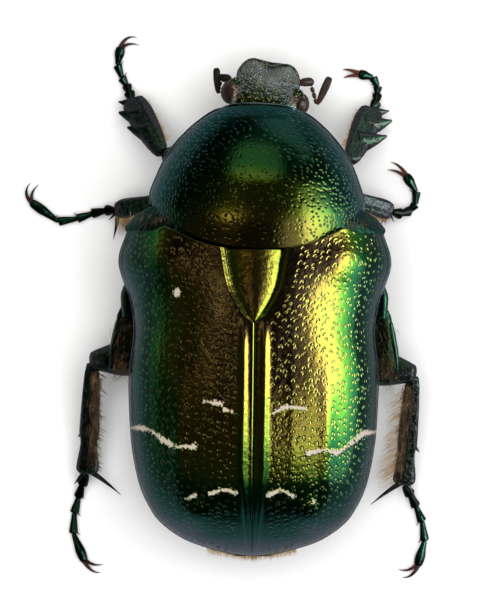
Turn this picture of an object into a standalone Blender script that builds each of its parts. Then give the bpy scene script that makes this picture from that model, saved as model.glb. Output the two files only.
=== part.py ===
"""Rose chafer, life size, standing still on its six feet.

Sizes are in millimetres and are scaled to metres when an object is made.
The head points to -Y, the beetle's left side is +X and the floor is z = 0.
The origin ends below the middle of the whole animal, legs and feelers included.
"""
import math

import bmesh
import bpy
from mathutils import Matrix, Vector

MM = 0.001
GAP = 0.25
HALF_GAP = GAP / 2
CLEAR = 0.3
SIDES = {"left": 1, "right": -1}

# Body, along y from the clypeus to the tip of the wing cases
CLYPEUS_Y = -10.03
PRONOTUM_FRONT_Y = -8.28
PRONOTUM_REAR_Y = -2.48
SCUTELLUM_TIP_Y = 0.36
ELYTRA_END_Y = 9.84
ELYTRON_THICK = 0.5
RIM_THICK = 0.3
BASE_REACH = 0.2
PRONOTUM_YAW = math.radians(-2)
HEAD_YAW = math.radians(-6)
HEAD_PIVOT = Vector((-0.3, PRONOTUM_FRONT_Y, 0))
PRONOTUM_PIVOT = Vector((0, PRONOTUM_REAR_Y, 0))

# Sternum and coxae
STERNUM_TOP_Z = 4.05
COXA_HIND_Y = (0.5, 1.95)
COXA_HIND_TOP_Z = 3.7
HIP_HIND_X = 1.5
KNEE_Z = 2.75
ANKLE_Z = 0.95
FOOT_Z = 0.21
FOOT_RADIUS = 0.26
CLAW_LENGTH = 0.75

BLACK_GREEN = (0.02, 0.05, 0.03)
GREEN = (0.10, 0.28, 0.07)
DARK_GREEN = (0.03, 0.12, 0.06)
BRONZE = (0.12, 0.09, 0.04)
BROWN_BLACK = (0.03, 0.02, 0.015)
EYE_BROWN = (0.02, 0.015, 0.012)


def curve_through(stations):
    """A smooth curve through (position, value) pairs that never overshoots them."""
    xs = [s[0] for s in stations]
    ys = [s[1] for s in stations]
    steps = [b - a for a, b in zip(xs, xs[1:])]
    rises = [(b - a) / h for a, b, h in zip(ys, ys[1:], steps)]
    slopes = [rises[0]]
    for before, after in zip(rises, rises[1:]):
        slopes.append(0.0 if before * after <= 0 else 2 * before * after / (before + after))
    slopes.append(rises[-1])

    def value(x):
        x = min(max(x, xs[0]), xs[-1])
        i = 0
        while i < len(steps) - 1 and x > xs[i + 1]:
            i += 1
        h = steps[i]
        t = (x - xs[i]) / h
        start = ys[i] * (1 + 2 * t) * (1 - t) ** 2 + h * slopes[i] * t * (1 - t) ** 2
        end = ys[i + 1] * t * t * (3 - 2 * t) + h * slopes[i + 1] * t * t * (t - 1)
        return start + end

    return value


def bump(distance, width):
    return math.exp(-((distance / width) ** 2))


def spread(start, end, count):
    return [start + (end - start) * i / (count - 1) for i in range(count)]


def turned(point, pivot, angle):
    return pivot + Matrix.Rotation(angle, 3, "Z") @ (Vector(point) - pivot)


def on_pronotum(point):
    return turned(point, PRONOTUM_PIVOT, PRONOTUM_YAW)


def on_head(point):
    return turned(Vector(point) + Vector((HEAD_PIVOT.x, 0, 0)), HEAD_PIVOT, HEAD_YAW)


def mesh_from(vertices, faces):
    mesh = bpy.data.meshes.new("piece")
    mesh.from_pydata([tuple(v) for v in vertices], [], faces)
    work = bmesh.new()
    work.from_mesh(mesh)
    bmesh.ops.recalc_face_normals(work, faces=work.faces)
    bmesh.ops.triangulate(work, faces=work.faces)
    work.to_mesh(mesh)
    work.free()
    return mesh


def surface(rings, closed=True):
    """A closed body through rings of points, with a cap on each end ring."""
    count = len(rings[0])
    vertices = [p for ring in rings for p in ring]
    faces = []
    for i in range(len(rings) - 1):
        for j in range(count if closed else count - 1):
            k = (j + 1) % count
            a, b = i * count + j, i * count + k
            c, d = a + count, b + count
            faces += [(a, b, d), (a, d, c)]
    last = (len(rings) - 1) * count
    faces.append(tuple(range(count - 1, -1, -1)))
    faces.append(tuple(range(last, last + count)))
    return mesh_from(vertices, faces)


def slab(outer, inner):
    """A closed shell between two like grids, cut into triangles alike on both."""
    rows, columns = len(outer), len(outer[0])
    size = rows * columns
    vertices = [p for row in outer for p in row] + [p for row in inner for p in row]
    faces = []
    for i in range(rows - 1):
        for j in range(columns - 1):
            a = i * columns + j
            b, c, d = a + 1, a + columns, a + columns + 1
            faces += [(a, b, d), (a, d, c)]
            faces += [(a + size, d + size, b + size), (a + size, c + size, d + size)]
    border = [j for j in range(columns)]
    border += [i * columns + columns - 1 for i in range(1, rows)]
    border += [(rows - 1) * columns + j for j in range(columns - 2, -1, -1)]
    border += [i * columns for i in range(rows - 2, 0, -1)]
    for a, b in zip(border, border[1:] + border[:1]):
        faces += [(a, a + size, b + size), (a, b + size, b)]
    return mesh_from(vertices, faces)


def ball(centre, radii, turn=0.0, segments=12, rings=7):
    mesh = bpy.data.meshes.new("ball")
    work = bmesh.new()
    bmesh.ops.create_uvsphere(work, u_segments=segments, v_segments=rings, radius=1.0)
    place = Matrix.Translation(centre) @ Matrix.Rotation(turn, 4, "Z") @ Matrix.Diagonal((*radii, 1))
    bmesh.ops.transform(work, matrix=place, verts=work.verts)
    bmesh.ops.triangulate(work, faces=work.faces)
    work.to_mesh(mesh)
    work.free()
    return mesh


def limb(stations, start_cut=None, end_cut=None, up=Vector((0, 0, 1)), sides=8):
    """A tapering arm through stations of (point, width, height); the cuts tilt its end faces."""
    points = [Vector(s[0]) for s in stations]
    rings = []
    for i, (centre, width, height) in enumerate(stations):
        before = points[max(i - 1, 0)]
        after = points[min(i + 1, len(points) - 1)]
        along = (after - before).normalized()
        across = along.cross(up).normalized()
        high = across.cross(along)
        cut = start_cut if i == 0 else end_cut if i == len(points) - 1 else None
        ring = []
        for k in range(sides):
            angle = 2 * math.pi * (k + 0.5) / sides
            offset = across * (width / 2 * math.cos(angle)) + high * (height / 2 * math.sin(angle))
            if cut is not None:
                offset -= along * (offset.dot(cut) / along.dot(cut))
            ring.append(points[i] + offset)
        rings.append(ring)
    return surface(rings)


def cone(root, tip, radius, sides=6, end=0.05):
    root, tip = Vector(root), Vector(tip)
    middle = root.lerp(tip, 0.5)
    return limb([(root, 2 * radius, 2 * radius), (middle, 1.35 * radius, 1.35 * radius), (tip, end, end)],
                sides=sides)


def largest_body(mesh):
    """Keeps the largest closed surface of a mesh."""
    work = bmesh.new()
    work.from_mesh(mesh)
    left = set(work.verts)
    bodies = []
    while left:
        queue = [left.pop()]
        body = set(queue)
        while queue:
            for edge in queue.pop().link_edges:
                for vertex in edge.verts:
                    if vertex in left:
                        left.discard(vertex)
                        body.add(vertex)
                        queue.append(vertex)
        bodies.append(body)

    def reach(body):
        spans = [max(v.co[i] for v in body) - min(v.co[i] for v in body) for i in range(3)]
        return spans[0] * spans[1] * spans[2]

    bodies.sort(key=reach, reverse=True)
    for body in bodies[1:]:
        bmesh.ops.delete(work, geom=list(body), context="VERTS")
    bmesh.ops.triangulate(work, faces=work.faces)
    work.to_mesh(mesh)
    work.free()
    return mesh


def combine(pieces, operation="UNION"):
    """Joins closed meshes into the first, or cuts them from it, as one closed body."""
    if len(pieces) == 1:
        return pieces[0]
    group = bpy.data.collections.new("pieces")
    bpy.context.scene.collection.children.link(group)
    first = bpy.data.objects.new("first", pieces[0])
    bpy.context.scene.collection.objects.link(first)
    for mesh in pieces[1:]:
        group.objects.link(bpy.data.objects.new("next", mesh))
    cut = first.modifiers.new("join", "BOOLEAN")
    cut.operation = operation
    cut.operand_type = "COLLECTION"
    cut.collection = group
    cut.solver = "EXACT"
    bpy.context.view_layer.update()
    result = bpy.data.meshes.new_from_object(first.evaluated_get(bpy.context.evaluated_depsgraph_get()))
    for piece in list(group.objects) + [first]:
        bpy.data.objects.remove(piece)
    bpy.data.collections.remove(group)
    return largest_body(result)


def place_on_floor(mesh):
    """Presses whatever would dip below the floor into a flat."""
    for vertex in mesh.vertices:
        vertex.co.z = max(vertex.co.z, 0.0)
    return mesh


def add_object(name, mesh, colour, roughness=0.3, metallic=0.8):
    """Makes the named object of a finished mesh, in metres."""
    mesh.name = name
    mesh.transform(Matrix.Scale(MM, 4))
    mesh.shade_smooth()
    mesh.set_sharp_from_angle(angle=math.radians(40))
    material = bpy.data.materials.new(name)
    material.use_nodes = True
    shader = material.node_tree.nodes["Principled BSDF"]
    shader.inputs["Base Color"].default_value = (*colour, 1)
    shader.inputs["Roughness"].default_value = roughness
    shader.inputs["Metallic"].default_value = metallic
    mesh.materials.clear()
    mesh.materials.append(material)
    thing = bpy.data.objects.new(name, mesh)
    bpy.context.scene.collection.objects.link(thing)
    return thing


# Height of the wing cases along the midline, and half their width along the body
elytra_top = curve_through([(-3.1, 7.95), (-2.2, 8.15), (-1, 8.45), (1, 8.62), (3, 8.65), (5, 8.5),
                            (6.6, 8.15), (7.6, 7.65), (8.4, 7.0), (9.0, 6.3), (9.4, 5.65), (9.7, 4.95),
                            (9.84, 4.4)])
elytra_half = curve_through([(-3.1, 5.12), (-1.92, 5.43), (-0.2, 4.93), (0.8, 4.8), (2.8, 4.98),
                             (4.8, 4.9), (6.7, 4.6), (8.16, 3.96), (9.12, 2.82), (9.6, 1.46), (9.84, 0.3)])
elytra_edge = curve_through([(-3.1, 4.95), (0, 4.65), (4, 4.45), (8, 4.3), (9.84, 4.2)])


class Shield:
    """A domed plate ruled by rows; v runs back along it and u from its inner margin to its edge."""

    def __init__(self, middle_y, inner_x, edge, top_z, edge_z, bend, power, base=None):
        self.middle_y = curve_through(middle_y)
        self.inner_x = inner_x
        self.edge_x = curve_through([(v, x) for v, x, y in edge])
        self.edge_y = curve_through([(v, y) for v, x, y in edge])
        self.top_z = top_z
        self.edge_z = edge_z
        self.bend = bend
        self.power = power
        self.base = base

    def row_y(self, v, share):
        middle = self.middle_y(v)
        y = middle + (self.edge_y(v) - middle) * share ** self.bend
        if self.base and v < BASE_REACH:
            plain = self.row_y_plain(share)
            y += (self.base(self.edge_x(0) * share) - plain) * (1 - v / BASE_REACH) ** 1.5
        return y

    def row_y_plain(self, share):
        middle = self.middle_y(0)
        return middle + (self.edge_y(0) - middle) * share ** self.bend

    def point(self, v, u, relief=None):
        half = self.edge_x(v)
        middle = self.middle_y(v)
        inner = min(self.inner_x(middle), half * 0.8)
        first = math.asin((inner / half) ** (self.power / 2))
        angle = first + (math.pi / 2 - first) * abs(u)
        share = math.sin(angle) ** (2 / self.power)
        lift = max(math.cos(angle), 0) ** (2 / self.power)
        y = self.row_y(v, share)
        x = half * share
        z = self.edge_z(v) + (self.top_z(v) - self.edge_z(v)) * lift
        if relief:
            z += relief(x, y) * min(1, 3 * lift)
        return Vector((math.copysign(x, u) if u else x, y, z))

    def inward(self, v, u, relief=None, step=0.01):
        """The direction straight into the plate at a point."""
        v0, v1 = max(v - step, 0), min(v + step, 1)
        u0, u1 = max(u - step, 0), min(u + step, 1)
        down = self.point(v1, u, relief) - self.point(v0, u, relief)
        over = self.point(v, u1, relief) - self.point(v, u0, relief)
        into = down.cross(over).normalized()
        return into if into.z < 0 else -into


def elytron_relief(x, y):
    """Low crests beside the suture and along the disc, and a callus at each end."""
    behind = min(max((y - 0.4) / 1.5, 0), 1)
    crest = 0.10 * bump(x - 0.42, 0.25) * behind
    valley = -0.12 * bump(x - 1.35, 0.7) * behind * bump(y - 3.5, 4.0)
    rib = 0.10 * bump(x - 2.95, 0.3) * bump(y - 5.3, 2.4)
    shoulder = 0.22 * bump(math.hypot(x - 3.7, y + 2.0), 0.9)
    callus = 0.22 * bump(math.hypot(x - 2.35, y - 8.2), 0.6)
    return crest + valley + rib + shoulder + callus


def elytron_form():
    scutellum_side = curve_through([(-2.3, 1.14 + GAP), (-1.0, 0.84 + GAP), (0.0, 0.3 + GAP),
                                    (SCUTELLUM_TIP_Y + 0.35, HALF_GAP)])
    middle_y = [(0, -2.2), (0.1, -1.25), (0.22, 0.25), (0.3, 1.1), (0.45, 3.0), (0.58, 4.9),
                (0.72, 6.75), (0.84, 8.25), (0.92, 9.15), (0.97, 9.62), (1, ELYTRA_END_Y)]
    edge = [(0, 5.1, -3.0), (0.1, 5.43, -1.92), (0.22, 4.93, -0.2), (0.3, 4.8, 0.8), (0.45, 4.98, 2.8),
            (0.58, 4.9, 4.8), (0.72, 4.6, 6.7), (0.84, 3.96, 8.16), (0.92, 2.82, 9.12),
            (0.97, 1.46, 9.6), (1, 0.55, 9.79)]
    base = curve_through([(0, -2.33), (1.4, -2.4), (2.4, -2.66), (3.2, -3.02), (3.6, -3.15), (4.2, -3.0),
                          (5.1, -3.02)])
    middle = curve_through(middle_y)
    return Shield(middle_y, scutellum_side, edge, lambda v: elytra_top(middle(v)),
                  lambda v: elytra_edge(middle(v)), bend=1.6, power=2.45, base=base)


def build_elytra():
    form = elytron_form()
    rows = [0.0, 0.05, 0.1, 0.16, 0.22, 0.28, 0.35, 0.42, 0.49, 0.56, 0.63, 0.69, 0.75, 0.8, 0.845, 0.88,
            0.91, 0.935, 0.957, 0.975, 0.99, 1.0]
    columns = spread(0, 1, 12)
    for side, sign in SIDES.items():
        outer, inner = [], []
        for v in rows:
            outer_row, inner_row = [], []
            for u in columns:
                out = form.point(v, u, elytron_relief)
                into = form.inward(v, u, elytron_relief) * ELYTRON_THICK
                if u == 0:
                    into.x = 0
                if u == 1:
                    into.z = 0
                if v == 0:
                    into.y = 0
                inside = out + into
                inside.x = max(inside.x, HALF_GAP)
                outer_row.append(Vector((sign * out.x, out.y, out.z)))
                inner_row.append(Vector((sign * inside.x, inside.y, inside.z)))
            outer.append(outer_row)
            inner.append(inner_row)
        add_object("elytron_" + side, slab(outer, inner), GREEN, 0.25, 0.9)


def build_pronotum():
    middle_y = [(0, PRONOTUM_FRONT_Y), (0.12, -7.6), (0.35, -6.3), (0.6, -4.9), (0.85, -3.4),
                (1, PRONOTUM_REAR_Y - HALF_GAP)]
    edge = [(0, 1.5, -8.08), (0.08, 2.1, -7.74), (0.25, 2.95, -7.0), (0.45, 3.6, -6.16), (0.65, 4.04, -5.2),
            (0.85, 4.28, -4.42), (1, 4.24, -4.14)]
    top = curve_through([(0, 5.75), (0.12, 6.45), (0.35, 7.3), (0.6, 7.9), (0.85, 8.15), (1, 8.1)])
    edge_z = curve_through([(0, 5.35), (0.25, 4.85), (0.6, 4.65), (0.85, 4.75), (1, 4.85)])
    form = Shield(middle_y, lambda y: 0.0, edge, top, edge_z, bend=2.6, power=2.2)
    rows = [0, 0.05, 0.12, 0.2, 0.3, 0.4, 0.5, 0.6, 0.7, 0.8, 0.88, 0.95, 1]
    columns = spread(-1, 1, 19)
    outer, inner = [], []
    for v in rows:
        outer.append([on_pronotum(form.point(v, u)) for u in columns])
        inner.append([Vector((p.x, p.y, edge_z(v) - RIM_THICK)) for p in outer[-1]])
    add_object("pronotum", slab(outer, inner), DARK_GREEN, 0.25, 0.9)


def section_ring(y, half, low, high, waist=None, power=2.4, steps=5, place=None):
    """A ring across the body: a keel below the waist and an arch above it."""
    waist = (low + high) / 2 if waist is None else waist
    ring = []
    for k in range(4 * steps):
        angle = math.pi / 2 * k / steps
        c, s = math.cos(angle), math.sin(angle)
        x = math.copysign(abs(c) ** (2 / power), c) * half
        reach = high - waist if s > 0 else waist - low
        z = waist + math.copysign(abs(s) ** (2 / power), s) * reach
        ring.append(Vector((x, y, z)))
    return [place(p) for p in ring] if place else ring


def build_head():
    half = curve_through([(-10.03, 0.98), (-9.95, 1.18), (-9.6, 1.3), (-9.2, 1.28), (-8.8, 1.36), (-8.4, 1.42),
                          (-7.85, 1.3)])
    top = curve_through([(-10.03, 3.3), (-9.9, 3.45), (-9.4, 3.92), (-8.8, 4.42), (-8.3, 4.68), (-7.85, 4.7)])
    low = curve_through([(-10.03, 2.95), (-9.6, 2.75), (-9.0, 2.65), (-8.4, 2.7), (-7.85, 3.0)])
    rings = []
    for y in (CLYPEUS_Y, -9.95, -9.75, -9.45, -9.1, -8.8, -8.5, -8.2, -7.85):
        ring = section_ring(y, half(y), low(y), top(y), power=2.8)
        notch = 0.12 * bump(y - CLYPEUS_Y, 0.25)
        for p in ring:
            p.y += notch * bump(p.x, 0.4)
        rings.append([on_head(p) for p in ring])
    skull = surface(rings)
    sockets = []
    for side, sign in SIDES.items():
        centre = on_head((sign * 1.38, -8.5, 3.85))
        radii = Vector((0.43, 0.5, 0.6))
        add_object("eye_" + side, ball(centre, radii, HEAD_YAW), EYE_BROWN, 0.15, 0.0)
        sockets.append(ball(centre, radii + Vector((GAP, GAP, GAP)), HEAD_YAW))
    add_object("head", combine([skull] + sockets, "DIFFERENCE"), BLACK_GREEN, 0.25, 0.8)


def build_mouthparts():
    rings = []
    for y, half, low, high in ((-9.55, 0.5, 2.15, 2.4), (-9.3, 0.75, 2.0, 2.38), (-8.8, 0.95, 1.95, 2.36),
                               (-8.4, 0.85, 2.05, 2.4)):
        rings.append(section_ring(y, half, low, high, steps=3, place=on_head))
    add_object("mouthparts", surface(rings), BROWN_BLACK, 0.4, 0.2)
    for side, sign in SIDES.items():
        path = [(1.3, -8.7, 2.1), (1.5, -9.1, 1.95), (1.45, -9.5, 1.85), (1.2, -9.85, 1.85)]
        sizes = (0.35, 0.42, 0.46, 0.3)
        stations = [(on_head((sign * x, y, z)), size, size) for (x, y, z), size in zip(path, sizes)]
        add_object("palp_" + side, limb(stations, sides=6), BROWN_BLACK, 0.35, 0.1)


ANTENNAE = {
    "left": [(1.42, -9.18, 3.35), (1.6, -9.5, 3.2), (1.8, -9.35, 3.1), (1.78, -9.0, 3.05)],
    "right": [(-2.02, -9.1, 3.35), (-2.28, -9.3, 3.25), (-2.62, -8.95, 3.15), (-2.6, -8.55, 3.1)],
}
ANTENNA_CLUBS = {
    "left": ((1.72, -8.98, 3.0), (1.95, -9.75, 2.9)),
    "right": ((-2.62, -8.45, 3.05), (-3.05, -9.45, 2.9)),
}


def build_antennae():
    for side, path in ANTENNAE.items():
        stem = limb([(p, size, size) for p, size in zip(path, (0.42, 0.5, 0.44, 0.46))], sides=6)
        root, tip = (Vector(p) for p in ANTENNA_CLUBS[side])
        leaves = []
        direction = tip - root
        turn = math.atan2(direction.y, direction.x)
        across = Vector((-direction.y, direction.x, 0)).normalized()
        for k in (-1, 0, 1):
            centre = root.lerp(tip, 0.5) + across * 0.17 * k
            leaves.append(ball(centre, (direction.length * 0.55, 0.17, 0.3), turn + 0.05 * k, 10, 6))
        knot = ball(path[-1], (0.3, 0.3, 0.3), 0, 8, 6)
        add_object("antenna_" + side, combine([stem, knot] + leaves), BROWN_BLACK, 0.35, 0.1)


def build_prosternum():
    top = curve_through([(-7.75, 4.72), (-7.0, 4.28), (-6.0, 4.08), (-3.65, 4.05)])
    half = curve_through([(-7.75, 1.35), (-7.3, 1.9), (-6.4, 2.7), (-5.2, 3.4), (-4.3, 3.65), (-3.65, 3.2)])
    low = curve_through([(-7.75, 3.3), (-7.0, 2.75), (-6.0, 2.55), (-4.8, 2.6), (-3.65, 2.75)])
    rings = []
    for y in (-7.6, -7.2, -6.7, -6.2, -5.7, -5.2, -4.7, -4.2, -3.75):
        ring = []
        for p in section_ring(y, half(y), low(y), top(y), waist=top(y) - 0.25, power=1.7):
            if p.z > top(y) - 0.25:
                p.z = top(y)
            ring.append(on_pronotum(p))
        rings.append(ring)
    add_object("prosternum", surface(rings), BROWN_BLACK, 0.4, 0.3)


def inner_section(y, half_out, low, shelf_x=None, power=2.45):
    """A ring that fills the wing cases above their edge and rounds off below it."""
    edge = elytra_edge(y) - CLEAR
    half_in = max(elytra_half(y) - ELYTRON_THICK - CLEAR, 0.4)
    high = elytra_top(y) - ELYTRON_THICK - CLEAR - 0.05
    waist = edge - 0.35
    right = []
    steps = 6
    for k in range(steps + 1):
        angle = -math.pi / 2 + math.pi / 2 * k / steps
        share = max(math.cos(angle), 0) ** (2 / 2.2)
        drop = abs(math.sin(angle)) ** (2 / 2.2)
        right.append(Vector((half_out * share, y, waist - (waist - low) * drop)))
    right.append(Vector((half_out, y, edge)))
    for k in range(steps + 1):
        angle = math.pi / 2 * k / steps
        share = max(math.cos(angle), 0) ** (2 / power)
        lift = math.sin(angle) ** (2 / power)
        right.append(Vector((half_in * 0.98 * share, y, edge + (high - edge) * lift)))
    left = [Vector((-p.x, p.y, p.z)) for p in right[-2:0:-1]]
    return right + left


def build_metathorax():
    """Breast of the second and third segments, with the knob between the middle legs."""
    out = curve_through([(-2.0, 4.9), (-0.9, 5.2), (0.2, 5.3)])
    low = curve_through([(-2.0, 2.2), (-1.5, 1.5), (-0.6, 1.3), (0.2, 1.35)])
    upper = surface([inner_section(y, out(y), low(y)) for y in (-2.0, -1.6, -1.1, -0.6, -0.1, 0.2)])
    rings = []
    for y, half in ((-3.35, 3.3), (-3.1, 3.9), (-2.6, 4.5), (-1.9, 4.7)):
        ring = []
        for p in section_ring(y, half, 2.2, STERNUM_TOP_Z, waist=STERNUM_TOP_Z - 0.3, power=1.7):
            if p.z > STERNUM_TOP_Z - 0.3:
                p.z = STERNUM_TOP_Z
            ring.append(p)
        rings.append(ring)
    front = surface(rings)
    knob = limb([((0, -1.2, 1.75), 1.3, 0.9), ((0, -2.2, 1.7), 0.55, 0.8), ((0, -2.9, 1.75), 0.7, 0.8),
                 ((0, -3.25, 1.85), 0.5, 0.5)])
    add_object("metathorax", combine([upper, front, knob]), BLACK_GREEN, 0.35, 0.6)


def build_abdomen():
    """Belly with overlapping rings; its back fills the wing cases."""
    over_coxae = COXA_HIND_TOP_Z + GAP
    out = curve_through([(0.4, 4.75), (2.2, 4.75), (4.5, 4.6), (6.5, 4.2), (8.0, 3.5), (8.75, 2.9)])
    low = curve_through([(2.2, 1.55), (4.5, 1.65), (6.5, 2.0), (8.0, 2.5), (8.75, 2.85)])
    rings = [inner_section(y, out(y), over_coxae) for y in (0.45, 1.3, 2.15)]
    borders = (2.2, 3.6, 4.9, 6.1, 7.2, 8.1)
    step = 0.12
    for start, end in zip(borders, borders[1:] + (8.72,)):
        rings.append(inner_section(start, out(start), low(start) + step))
        rings.append(inner_section(end - 0.12, out(end), low(end)))
    add_object("abdomen", surface(rings), BLACK_GREEN, 0.35, 0.6)
    rings = []
    for y, half, bottom in ((8.97, 3.0, 2.75), (9.3, 2.4, 2.95), (9.6, 1.55, 3.25), (9.86, 0.7, 3.6)):
        rings.append(section_ring(y, half, bottom, 3.92, waist=3.7))
    add_object("pygidium", surface(rings), BRONZE, 0.35, 0.7)


def build_scutellum():
    outline = curve_through([(-2.33, 1.12), (-1.0, 0.8), (0.0, 0.26), (SCUTELLUM_TIP_Y - 0.06, 0.08)])
    outer, inner = [], []
    for y in (-2.33, -1.9, -1.3, -0.7, -0.2, SCUTELLUM_TIP_Y - 0.06):
        half = outline(y)
        outer.append([Vector((half * u, y, elytra_top(y) - 0.04)) for u in (-1, -0.5, 0, 0.5, 1)])
        inner.append([Vector((half * u, y, elytra_top(y) - ELYTRON_THICK)) for u in (-1, -0.5, 0, 0.5, 1)])
    add_object("scutellum", slab(outer, inner), BRONZE, 0.25, 0.9)


def build_mesepimera():
    """The plates that show between the hind corners of the pronotum and the shoulders."""
    corners = [(4.38, -3.9), (4.8, -3.68), (5.08, -3.4), (5.08, -3.29), (4.2, -3.27), (3.9, -3.42)]
    inner_z, outer_z = 6.3, 5.1
    for side, sign in SIDES.items():
        rings = []
        for low in (True, False):
            ring = []
            for x, y in corners:
                share = (x - corners[-1][0]) / (corners[2][0] - corners[-1][0])
                z = STERNUM_TOP_Z + GAP if low else inner_z + (outer_z - inner_z) * share
                ring.append(Vector((sign * x, y, z)))
            rings.append(ring)
        add_object("mesepimeron_" + side, surface(rings), BLACK_GREEN, 0.3, 0.8)


# Each leg by its joints in plan, in front of and beside the body
LEGS = {
    ("fore", "left"): dict(hip=(1.35, -6.05, 1.9), knee=(3.72, -6.16), ankle=(5.0, -8.4),
                           foot=[(5.14, -8.72), (5.24, -9.0), (5.45, -9.35), (5.63, -9.85), (5.5, -10.6)],
                           claw_to=(4.8, -10.85)),
    ("fore", "right"): dict(hip=(-1.45, -6.0, 1.9), knee=(-3.76, -5.92), ankle=(-4.66, -8.12),
                            foot=[(-4.84, -8.42), (-4.88, -8.75), (-4.9, -9.1), (-4.7, -9.45), (-4.1, -9.6)],
                            claw_to=(-3.5, -9.55)),
    ("mid", "left"): dict(hip=(1.75, -2.6, 1.5), knee=(3.18, -4.48), ankle=(5.62, -3.97),
                          foot=[(6.0, -3.97), (6.57, -3.84), (7.2, -3.62), (7.95, -3.5), (9.1, -4.3)],
                          claw_to=(8.95, -5.1)),
    ("mid", "right"): dict(hip=(-1.75, -2.6, 1.5), knee=(-3.38, -4.72), ankle=(-5.5, -4.02),
                           foot=[(-5.86, -3.95), (-6.22, -4.06), (-6.48, -4.35), (-6.5, -4.85), (-6.05, -5.55)],
                           claw_to=(-5.35, -5.85)),
    ("hind", "left"): dict(hip=(HIP_HIND_X, 1.7, 1.15), knee=(6.48, 2.08), ankle=(6.67, 6.68),
                           foot=[(6.88, 7.08), (7.02, 7.6), (7.19, 8.28), (7.22, 9.1), (6.75, 10.25)],
                           claw_to=(5.95, 10.5)),
    ("hind", "right"): dict(hip=(-HIP_HIND_X, 1.7, 1.15), knee=(-6.41, 2.48), ankle=(-6.1, 7.0),
                            foot=[(-6.36, 7.36), (-6.6, 7.84), (-6.87, 8.48), (-6.98, 9.25), (-6.7, 10.3)],
                            claw_to=(-5.85, 10.7)),
}
FEMUR_WIDE = {"fore": 1.15, "mid": 1.15, "hind": 1.6}
TIBIA_WIDE = {"fore": 0.9, "mid": 0.8, "hind": 0.95}


def bisector(before, at, after):
    """The normal of the plane that halves the bend at a joint."""
    return ((at - before).normalized() + (after - at).normalized()).normalized()


def build_coxae():
    for side, sign in SIDES.items():
        pieces = [section_ring(-6.0 + dy, half, 1.4, 2.3, steps=3) for dy, half in
                  ((-0.55, 0.35), (-0.3, 0.52), (0.3, 0.52), (0.55, 0.35))]
        rings = [[on_pronotum(p + Vector((sign * 0.66, 0, 0))) for p in ring] for ring in pieces]
        add_object("coxa_fore_" + side, surface(rings), BROWN_BLACK, 0.35, 0.4)
        rings = [section_ring(-2.3 + dy, half, 1.05, 1.95, steps=3) for dy, half in
                 ((-0.6, 0.3), (-0.3, 0.5), (0.3, 0.5), (0.6, 0.3))]
        rings = [[p + Vector((sign * 1.05, 0, 0)) for p in ring] for ring in rings]
        add_object("coxa_mid_" + side, surface(rings), BROWN_BLACK, 0.35, 0.4)
        front, rear = COXA_HIND_Y
        low = curve_through([(0.15, 0.9), (1.1, 0.85), (1.2, 0.9), (1.35, 1.85), (3.0, 2.3), (5.45, 3.1)])
        wide = curve_through([(0.15, 0.9), (3.0, 1.0), (5.0, 1.0), (5.45, 0.8)])
        rings = []
        for x in (0.15, 0.7, 1.15, 1.25, 2.2, 3.2, 4.2, 5.0, 5.45):
            middle = (front + rear) / 2
            reach = (rear - front) / 2 * wide(x)
            bevel = 0.35 * min(reach, (COXA_HIND_TOP_Z - low(x)) / 2)
            ring = [(middle - reach + bevel, low(x)), (middle + reach - bevel, low(x)),
                    (middle + reach, low(x) + bevel), (middle + reach, COXA_HIND_TOP_Z),
                    (middle - reach, COXA_HIND_TOP_Z), (middle - reach, low(x) + bevel)]
            rings.append([Vector((sign * x, y, z)) for y, z in ring])
        add_object("coxa_hind_" + side, surface(rings), BLACK_GREEN, 0.35, 0.6)


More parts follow.
